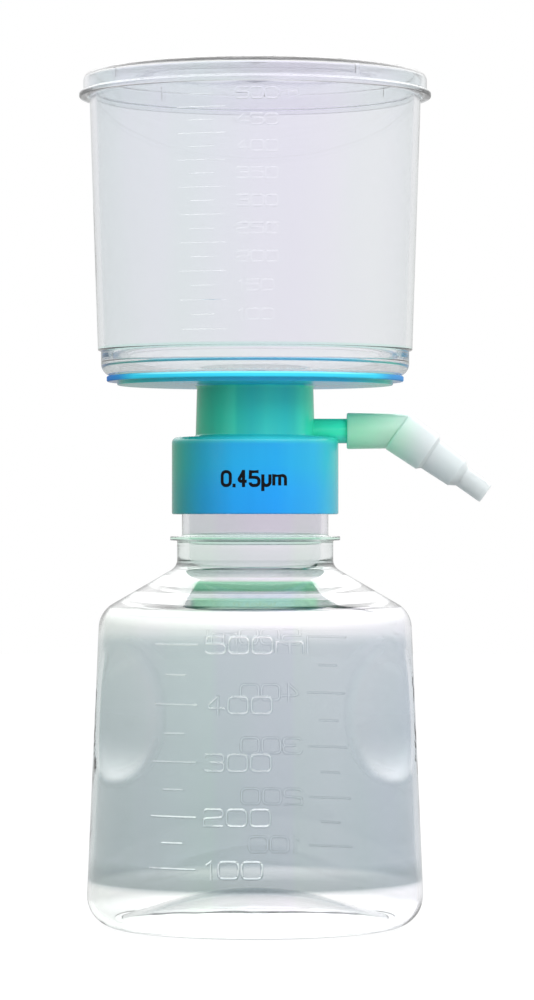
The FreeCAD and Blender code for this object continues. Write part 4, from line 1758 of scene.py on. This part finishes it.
@dataclass
class FilterBase:
    """Blue moulding: collar, roof, neck tube, spout, flange, dish and vacuum stub."""

    collar_radius: float = 23.9
    collar_bore: float = 22.6
    collar_bottom: float = 118.1
    roof_height: float = 137.2
    collar_top: float = 140.2
    tube_foot: float = 17.1
    tube_top: float = 16.7
    tube_bore: float = 15.2
    tube_roof: float = 154.4
    spout_radius: float = 5.6
    spout_bore: float = 4.0
    spout_tip: float = 121.0
    flange_radius: float = 42.6
    flange_bottom: float = 156.1
    flange_top: float = 157.6
    deck_radius: float = 39.6
    deck_bottom: float = 155.1
    platform_radius: float = 39.6
    weld_depth: float = 0.3
    platform_top: float = 159.0
    recess_radius: float = 37.65
    support_seat: float = 158.1
    dish_radius: float = 35.5
    dish_edge: float = 157.6
    dish_throat: float = 156.8
    rib_width: float = 1.0
    rib_count: int = 12
    stub_radius: float = 3.55
    stub_root: float = 16.0
    stub_bore: float = 2.2
    stub_bore_start: float = 10.4
    stub_reach: float = 38.0
    stub_height: float = 142.0
    rim_band: float = 0.9
    collar_thread: Winding = Winding(turns=2.0, radius=23.1, start=123.6, crest=0.75)

    def outline(self) -> list[Flat]:
        """The closed outline of the turned body."""
        weld_top = self.flange_top + self.weld_depth
        corners: list[Corner] = [
            (self.spout_bore, self.spout_tip, 0.3),
            (self.spout_bore, self.dish_throat, 0.8),
            (self.dish_radius, self.dish_edge, 0.0),
            (self.dish_radius, self.support_seat, 0.0),
            (self.recess_radius, self.support_seat, 0.0),
            (self.recess_radius, self.platform_top, 0.0),
            (self.platform_radius + self.weld_depth, self.platform_top, 0.25),
            (self.platform_radius + self.weld_depth, weld_top, 0.1),
            (self.flange_radius - 2.0, weld_top, 0.2),
            (self.flange_radius, self.flange_top, 0.35),
            (self.flange_radius, self.flange_bottom, 0.45),
            (self.deck_radius, self.flange_bottom, 0.2),
            (self.deck_radius, self.deck_bottom, 0.35),
            (self.tube_top, self.deck_bottom, 1.2),
            (self.tube_foot, self.collar_top, 0.9),
            (self.collar_radius, self.collar_top, 1.6),
            (self.collar_radius, self.collar_bottom, 0.45),
            (self.collar_bore, self.collar_bottom, 0.45),
            (self.collar_bore, self.roof_height, 0.3),
            (self.tube_bore, self.roof_height, 0.3),
            (self.tube_bore, self.tube_roof, 0.6),
            (self.spout_radius, self.tube_roof, 0.6),
            (self.spout_radius, self.spout_tip, 0.3),
        ]
        return rounded_path(corners, closed=True, steps=6)

    def build(self, ring: Recipe, thread: Recipe) -> bpy.types.Object:
        """Build the base with its stub, ribs and collar thread.

        Args:
            ring: The recipe for copies round an axis.
            thread: The recipe for screw threads.

        Returns:
            The base.
        """
        blue = BlueMoulding().material()
        base = make_object("filter_base_blue", turned(self.outline(), even_azimuths(192)), blue)
        lie = Matrix.Translation((0, 0, self.stub_height)) @ Matrix.Rotation(math.pi / 2, 4, "Y")
        rod = rounded_path(
            [
                (0, self.stub_root, 0),
                (self.stub_radius, self.stub_root, 0),
                (self.stub_radius, self.stub_reach, 0.3),
                (0, self.stub_reach, 0),
            ],
            closed=True,
        )
        work_in(base, make_object("stub", turned(rod, even_azimuths(64)).moved(lie)), Fuse.JOIN)
        hole = plain_rod(self.stub_bore, self.stub_bore_start, self.stub_reach + 1)
        work_in(base, make_object("stub_bore", turned(hole, even_azimuths(48)).moved(lie)), Fuse.CUT)

        near, far = self.spout_bore + self.rib_width, (self.dish_radius + self.recess_radius) / 2
        block = radial_block(near, far, self.rib_width, self.flange_bottom + 0.4, self.support_seat)
        sizes = {"Count": self.rib_count, "First angle": 0.0, "Material": blue}
        work_in(base, ring.made("dish_ribs", sizes, make_object("rib", block)), Fuse.JOIN)
        work_in(base, self.collar_thread.made("collar_thread", thread, blue), Fuse.JOIN)
        base.data.materials.append(DeepRim().material())
        for face in base.data.polygons:
            middle = face.center / MM
            out = math.hypot(middle.x, middle.y)
            if out > self.flange_radius - self.rim_band and middle.z > self.flange_bottom - 0.1:
                face.material_index = 1
        finish_piece(base, Body.HEAD, ["filter_base"])
        return base


@dataclass
class CollarPrint:
    """The pore size printed on the front of the collar."""

    text: str = "0.45µm"
    middle: float = 128.1
    shift: float = -0.8
    letters: Figures = Figures(3.9, 1.1, 0.46, 0.05, 0.0, 23.9, 0.0, narrowing=0.52)

    def build(self) -> bpy.types.Object:
        """Build the print as a thin skin that follows the collar."""
        start = self.shift - math.degrees(self.letters.width(self.text) / 2 / self.letters.ground_radius)
        strokes, crossings = replace(self.letters, start_azimuth=start).line(self.text, self.middle)
        skin = make_object("collar_print", strokes, INK_FINISH.material())
        work_in(skin, make_object("print_crossings", crossings), Fuse.JOIN)
        finish_piece(skin, Body.HEAD)
        return skin


# ---------------------------------------------------------------- filter cup and lid


@dataclass
class FilterCup:
    """Clear cup with its foot skirt, step, tapered wall and moulded scale."""

    foot_bore: float = 39.8
    foot_height: float = 157.6
    skirt_radius: float = 44.2
    skirt_round: float = 3.6
    step_radius: float = 45.1
    step_height: float = 165.0
    rim_radius: float = 47.7
    rim_height: float = 243.1
    wall: float = 1.7
    clamp_radius: float = 36.8
    clamp_top: float = 160.8
    membrane_top: float = 159.2
    wall_run: float = 1.6
    scale: Ladder = Ladder(
        count=18,
        first=169.23,
        rise=4.08,
        growth=-0.015,
        azimuth=-18.5,
        long_sweep=17.0,
        short_sweep=9.0,
        bead=0.16,
    )
    scale_sunk: float = 0.10
    scale_amounts: tuple[str, ...] = ("100", "150", "200", "250", "300", "350", "400", "450", "500ml")

    def outline(self) -> list[Flat]:
        """The closed outline of the wall."""
        corners: list[Corner] = [
            (self.foot_bore, self.foot_height, 0.2),
            (self.skirt_radius, self.foot_height, self.skirt_round),
            (self.skirt_radius, self.step_height, 0.3),
            (self.step_radius, self.step_height, 0.35),
            (self.rim_radius, self.rim_height, 0.5),
            (self.rim_radius - self.wall, self.rim_height, 0.5),
            (self.step_radius - self.wall, self.step_height, 3.0),
            (self.skirt_radius - self.wall, self.clamp_top, 1.6),
            (self.clamp_radius, self.clamp_top, 0.4),
            (self.clamp_radius, self.membrane_top, 0.0),
            (self.foot_bore, self.membrane_top, 0.0),
        ]
        return rounded_path(corners, closed=True, steps=8)

    def build(self, ticks: Recipe) -> bpy.types.Object:
        """Build the cup with its faint scale.

        Args:
            ticks: The recipe for level marks.

        Returns:
            The cup.
        """
        beads = CUP_BEADS.material()
        path = in_short_runs(self.outline(), self.wall_run, self.step_height, self.rim_height)
        wall = turned(path, even_azimuths(240))
        cup = make_object("filter_cup_clear", wall, CUP_FINISH.material(), beads)
        slope = (self.rim_radius - self.step_radius) / (self.rim_height - self.step_height)
        ground = self.step_radius - slope * self.step_height
        figures = Figures(2.9, 0.55, 0.36, 0.22, -6.2, ground, slope, sunk=self.scale_sunk)
        levels = (173.3 + 8.1 * step - 0.06 * step**2 for step in range(len(self.scale_amounts)))
        layers = figures.lines(zip(self.scale_amounts, levels))
        marks = self.scale.made("cup_marks", ticks, ground - self.scale_sunk, slope, beads)
        parts = [make_object(f"cup_figures_{order}", layer) for order, layer in enumerate(layers)]
        for part in (*parts, marks):
            work_in(cup, part, Fuse.JOIN, slot=1)
        finish_piece(cup, Body.HEAD, ["filter_cup"])
        span = (self.step_height + 1.0, self.rim_height - 0.8)
        follow_cone(cup.data, slope, ground - self.wall / 2, span)
        return cup


@dataclass
class CupLid:
    """Clear lid: disc, skirt with a bead, four nubs inside and a gate dimple."""

    gate_radius: float = 6.3
    gate_bottom: float = 241.8
    gate_floor: float = 243.6
    rest_height: float = 243.1
    top: float = 244.5
    bore: float = 48.05
    bottom: float = 237.5
    bead_radius: float = 50.5
    bead_top: float = 239.1
    radius: float = 49.3
    corner_round: float = 2.2
    nub_count: int = 4
    nub_azimuth: float = -54.0
    nub_width: float = 1.2
    nub_height: float = 3.2
    nub_reach: float = 0.25
    nub_root: float = 0.6
    nub_drop: float = 0.7

    def outline(self) -> list[Flat]:
        """The closed outline of the turned lid."""
        corners: list[Corner] = [
            (0.0, self.gate_bottom, 0.0),
            (self.gate_radius, self.rest_height, 0.3),
            (self.bore, self.rest_height, 0.6),
            (self.bore, self.bottom, 0.3),
            (self.bead_radius, self.bottom, 0.55),
            (self.bead_radius, self.bead_top, 0.55),
            (self.radius, self.bead_top, 0.4),
            (self.radius, self.top, self.corner_round),
            (self.gate_radius, self.top, 0.5),
            (0.0, self.gate_floor, 0.0),
        ]
        return rounded_path(corners, closed=True, steps=7)

    def build(self, ring: Recipe) -> bpy.types.Object:
        """Build the lid with its nubs.

        Args:
            ring: The recipe for copies round an axis.

        Returns:
            The lid.
        """
        clear = LID_FINISH.material()
        lid = make_object("cup_lid_clear", turned(self.outline(), even_azimuths(240)), clear)
        nub_top = self.top - self.nub_drop
        near, far = self.bore - self.nub_reach, self.bore + self.nub_root
        block = radial_block(near, far, self.nub_width, nub_top - self.nub_height, nub_top)
        first = math.radians(self.nub_azimuth - 90)
        sizes = {"Count": self.nub_count, "First angle": first, "Material": clear}
        work_in(lid, ring.made("lid_nubs", sizes, make_object("nub", block)), Fuse.JOIN)
        finish_piece(lid, Body.LID, ["cup_lid"])
        return lid


# ---------------------------------------------------------------- hose adapter


@dataclass
class HoseAdapter:
    """Milky elbow: a sleeve on the stub, then an arm with three steps for the hose."""

    height: float = 142.0
    start: float = 26.3
    mouth_radius: float = 5.2
    end_radius: float = 4.9
    elbow: float = 40.7
    droop: float = 35.0
    bore: float = 1.9
    socket_radius: float = 3.63
    socket_end: float = 38.2
    arm_radius: float = 6.12
    arm_steps: tuple[Corner, ...] = (
        (5.8, 10.7, 0.35),
        (4.75, 11.7, 0.3),
        (4.4, 20.8, 0.35),
        (3.1, 22.8, 0.4),
        (3.1, 31.1, 0.3),
    )
    bore_overlap: float = 0.6

    def build(self) -> bpy.types.Object:
        """Build the adapter with its socket and bore."""
        lie = Matrix.Translation((0, 0, self.height)) @ Matrix.Rotation(math.pi / 2, 4, "Y")
        elbow = Matrix.Translation((self.elbow, 0, self.height))
        lean = elbow @ Matrix.Rotation(math.radians(90 + self.droop), 4, "Y")
        sleeve_end = self.elbow + self.arm_radius * math.sin(math.radians(self.droop))
        sleeve = rounded_path(
            [
                (0, self.start, 0),
                (self.mouth_radius, self.start, 0.45),
                (self.end_radius, sleeve_end, 0),
                (0, sleeve_end, 0),
            ],
            closed=True,
            steps=6,
        )
        tip = self.arm_steps[-1][1]
        arm = rounded_path(
            [(0, 0, 0), (self.arm_radius, 0, 0.7), *self.arm_steps, (0, tip, 0)], closed=True, steps=6
        )
        around, in_bore = even_azimuths(96), even_azimuths(32)
        milky = MilkyPolymer().material()
        adapter = make_object("hose_adapter_milky", turned(sleeve, around).moved(lie), milky)
        work_in(adapter, make_object("arm", turned(arm, around).moved(lean)), Fuse.JOIN)
        past_elbow = self.elbow + self.bore_overlap
        for name, outline, spokes, place in (
            ("socket", plain_rod(self.socket_radius, self.start - 1, self.socket_end), around, lie),
            ("first_bore", plain_rod(self.bore, self.socket_end - 1, past_elbow), in_bore, lie),
            ("arm_bore", plain_rod(self.bore, -self.bore_overlap, tip + 0.9), in_bore, lean),
        ):
            work_in(adapter, make_object(name, turned(outline, spokes).moved(place)), Fuse.CUT)
        finish_piece(adapter, Body.ADAPTER, ["hose_adapter"], crease=40.0)
        return adapter


# ---------------------------------------------------------------- pieces kept from the frame


def dress_frame_pieces() -> None:
    """Give each piece that stays as the frame has it its own finish."""
    for node, finish in (
        ("neck_seal", SEAL_FINISH),
        ("membrane_support", SUPPORT_FINISH),
        ("filter_membrane", MEMBRANE_FINISH),
        ("port_plug", PLUG_FINISH),
    ):
        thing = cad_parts[node]
        material = finish.material()
        if not thing.material_slots:
            thing.data.materials.append(material)
        for slot in thing.material_slots:
            slot.material = material
        log.info("%s: kept, finish %s", node, finish.name)


# ---------------------------------------------------------------- studio


def hung(name: str, data: bpy.types.ID, place: Point, aim: Point) -> bpy.types.Object:
    """Put a lamp or a camera in its place, looking at a spot.

    Args:
        name: The object's name.
        data: The lamp or the camera itself.
        place: Where it hangs, in metres.
        aim: The spot that it looks at, in metres.

    Returns:
        The object.
    """
    thing = bpy.data.objects.new(name, data)
    bpy.context.scene.collection.objects.link(thing)
    thing.location = place
    thing.rotation_euler = (Vector(aim) - Vector(place)).to_track_quat("-Z", "Y").to_euler()
    return thing


@dataclass(frozen=True)
class Softbox:
    """A soft lamp that looks at the unit and isn't mirrored in it."""

    name: str
    place: Point
    size: Flat
    power: float
    aim: Point = (0.0, 0.0, 0.12)

    def build(self) -> None:
        """Hang the lamp."""
        lamp = bpy.data.lights.new(self.name, "AREA")
        lamp.shape = "RECTANGLE"
        lamp.size, lamp.size_y = self.size
        lamp.energy = self.power
        thing = hung(self.name, lamp, self.place, self.aim)
        thing.visible_glossy = False
        thing.visible_transmission = False


@dataclass
class Studio:
    """White floor and surroundings, soft lamps and the camera."""

    lamps: tuple[Softbox, ...] = (
        Softbox("key_softbox", (0.60, -0.85, 0.70), (0.5, 0.7), 7.0),
        Softbox("fill_softbox", (-0.75, -0.55, 0.45), (0.35, 0.8), 2.5),
        Softbox("top_softbox", (0.20, -0.15, 1.10), (0.6, 0.6), 2.6),
    )
    camera_place: Point = (0.0034, -1.188, 0.115)
    camera_aim: Point = (0.0034, 0.0, 0.1222)
    lens: float = 149.0
    clear_bounces: int = 32
    gloss_bounces: int = 16
    world_fill: float = 0.93
    gloss_level: float = 0.60
    gloss_overhead: float = 4.0
    through_overhead: float = 0.9
    floor_radius: float = 2500.0
    floor_height: float = -0.02
    floor_sides: int = 96
    floor_grey: float = 0.12
    floor_fill: float = 0.5
    floor_seen: float = 0.41
    # the strength and reach of the painted pool of light under the unit
    floor_painted_pool: float = 0.45
    painted_pool_span: Flat = (60.0, 105.0)

    def build(self) -> None:
        """Build the whole studio."""
        self.build_world()
        self.build_floor()
        for lamp in self.lamps:
            lamp.build()
        self.build_camera()
        cycles = bpy.context.scene.cycles
        cycles.max_bounces = cycles.transmission_bounces = self.clear_bounces
        cycles.glossy_bounces = self.gloss_bounces

    def build_world(self) -> None:
        """White where the eye sees it or looks through a piece, and plain fill light elsewhere."""
        world = bpy.data.worlds.new("plain_surroundings")
        bpy.context.scene.world = world
        world.use_nodes = True
        bench = Bench(world.node_tree)
        bench.tree.nodes.clear()
        path = bench.node("LightPath")
        way = bench.node("TexCoord").outputs["Generated"]
        up = bench.node("SeparateXYZ", {0: way}).outputs["Z"]

        def by_height(low: float, high: float, level: float, overhead: float) -> Socket:
            """A level that changes from the horizon to overhead."""
            ends = {"Value": up, "From Min": low, "From Max": high, "To Min": level, "To Max": overhead}
            return bench.node("MapRange", ends, interpolation_type="SMOOTHSTEP").outputs[0]

        def where(ray: str, level: Socket | float, others: Socket | float) -> Socket:
            """One level for a kind of ray and another for the rest."""
            return bench.node("Mix", {0: path.outputs[ray], 3: level, 2: others}).outputs[0]

        glossy = by_height(0.05, 0.6, self.gloss_level, self.gloss_overhead)
        level = where("Is Glossy Ray", glossy, self.world_fill)
        level = where("Is Transmission Ray", by_height(0.2, 0.6, 1.0, self.through_overhead), level)
        level = where("Is Camera Ray", 1.0, level)
        light = bench.node("Background", {"Color": (1.0, 1.0, 1.0), "Strength": level})
        bench.node("OutputWorld", {"Surface": light.outputs[0]})

    def build_floor(self) -> None:
        """A white floor that keeps the unit's soft shadow, with a painted pool of light under the unit
        that only rays through the pieces see.
        """
        disc = Shell()
        size, level = self.floor_radius, self.floor_height
        rim = [(size * math.cos(a), size * math.sin(a), level) for a in even_azimuths(self.floor_sides)]
        disc.add(rim, [tuple(range(self.floor_sides))])
        floor = make_object("studio_floor", disc)
        if floor.data.polygons[0].normal.z < 0:
            floor.data.flip_normals()
        paint = Paint("studio_floor_white")
        path = paint.node("LightPath").outputs
        seen = paint.sum("MAXIMUM", path["Is Camera Ray"], path["Is Transmission Ray"])
        _, (across, depth, _) = paint.place()
        # a painted pool of light under the unit, seen only through the pieces
        under = paint.falling(paint.reach(across, depth), self.painted_pool_span)
        extra = paint.times(paint.times(under, path["Is Transmission Ray"]), self.floor_painted_pool)
        level = paint.sum("ADD", paint.sum("MULTIPLY_ADD", seen, self.floor_seen, self.floor_fill), extra)
        matt = paint.node("BsdfDiffuse", {"Color": (self.floor_grey,) * 3})
        glow = paint.node("Emission", {"Color": (1.0, 1.0, 1.0), "Strength": level})
        both = paint.node("AddShader", {0: matt.outputs[0], 1: glow.outputs[0]})
        floor.data.materials.append(paint.done(both.outputs[0]))

    def build_camera(self) -> None:
        """The camera in front of the unit."""
        lens = bpy.data.cameras.new("front_camera")
        lens.lens = self.lens
        lens.sensor_width = 36.0
        lens.clip_end = 20.0
        bpy.context.scene.camera = hung("front_camera", lens, self.camera_place, self.camera_aim)


# ---------------------------------------------------------------- making


def main() -> None:
    """Build the studio and every piece."""
    logging.basicConfig(level=logging.INFO, format="%(message)s")
    Studio().build()
    ticks, ring, thread = tick_ladder_recipe(), ring_recipe(), screw_thread_recipe()
    ReceiverBottle().build(ticks, ring, thread)
    FilterBase().build(ring, thread)
    CollarPrint().build()
    FilterCup().build(ticks)
    CupLid().build(ring)
    HoseAdapter().build()
    dress_frame_pieces()
    bpy.context.scene.view_settings.view_transform = "Standard"


if __name__ == "__main__":
    main()
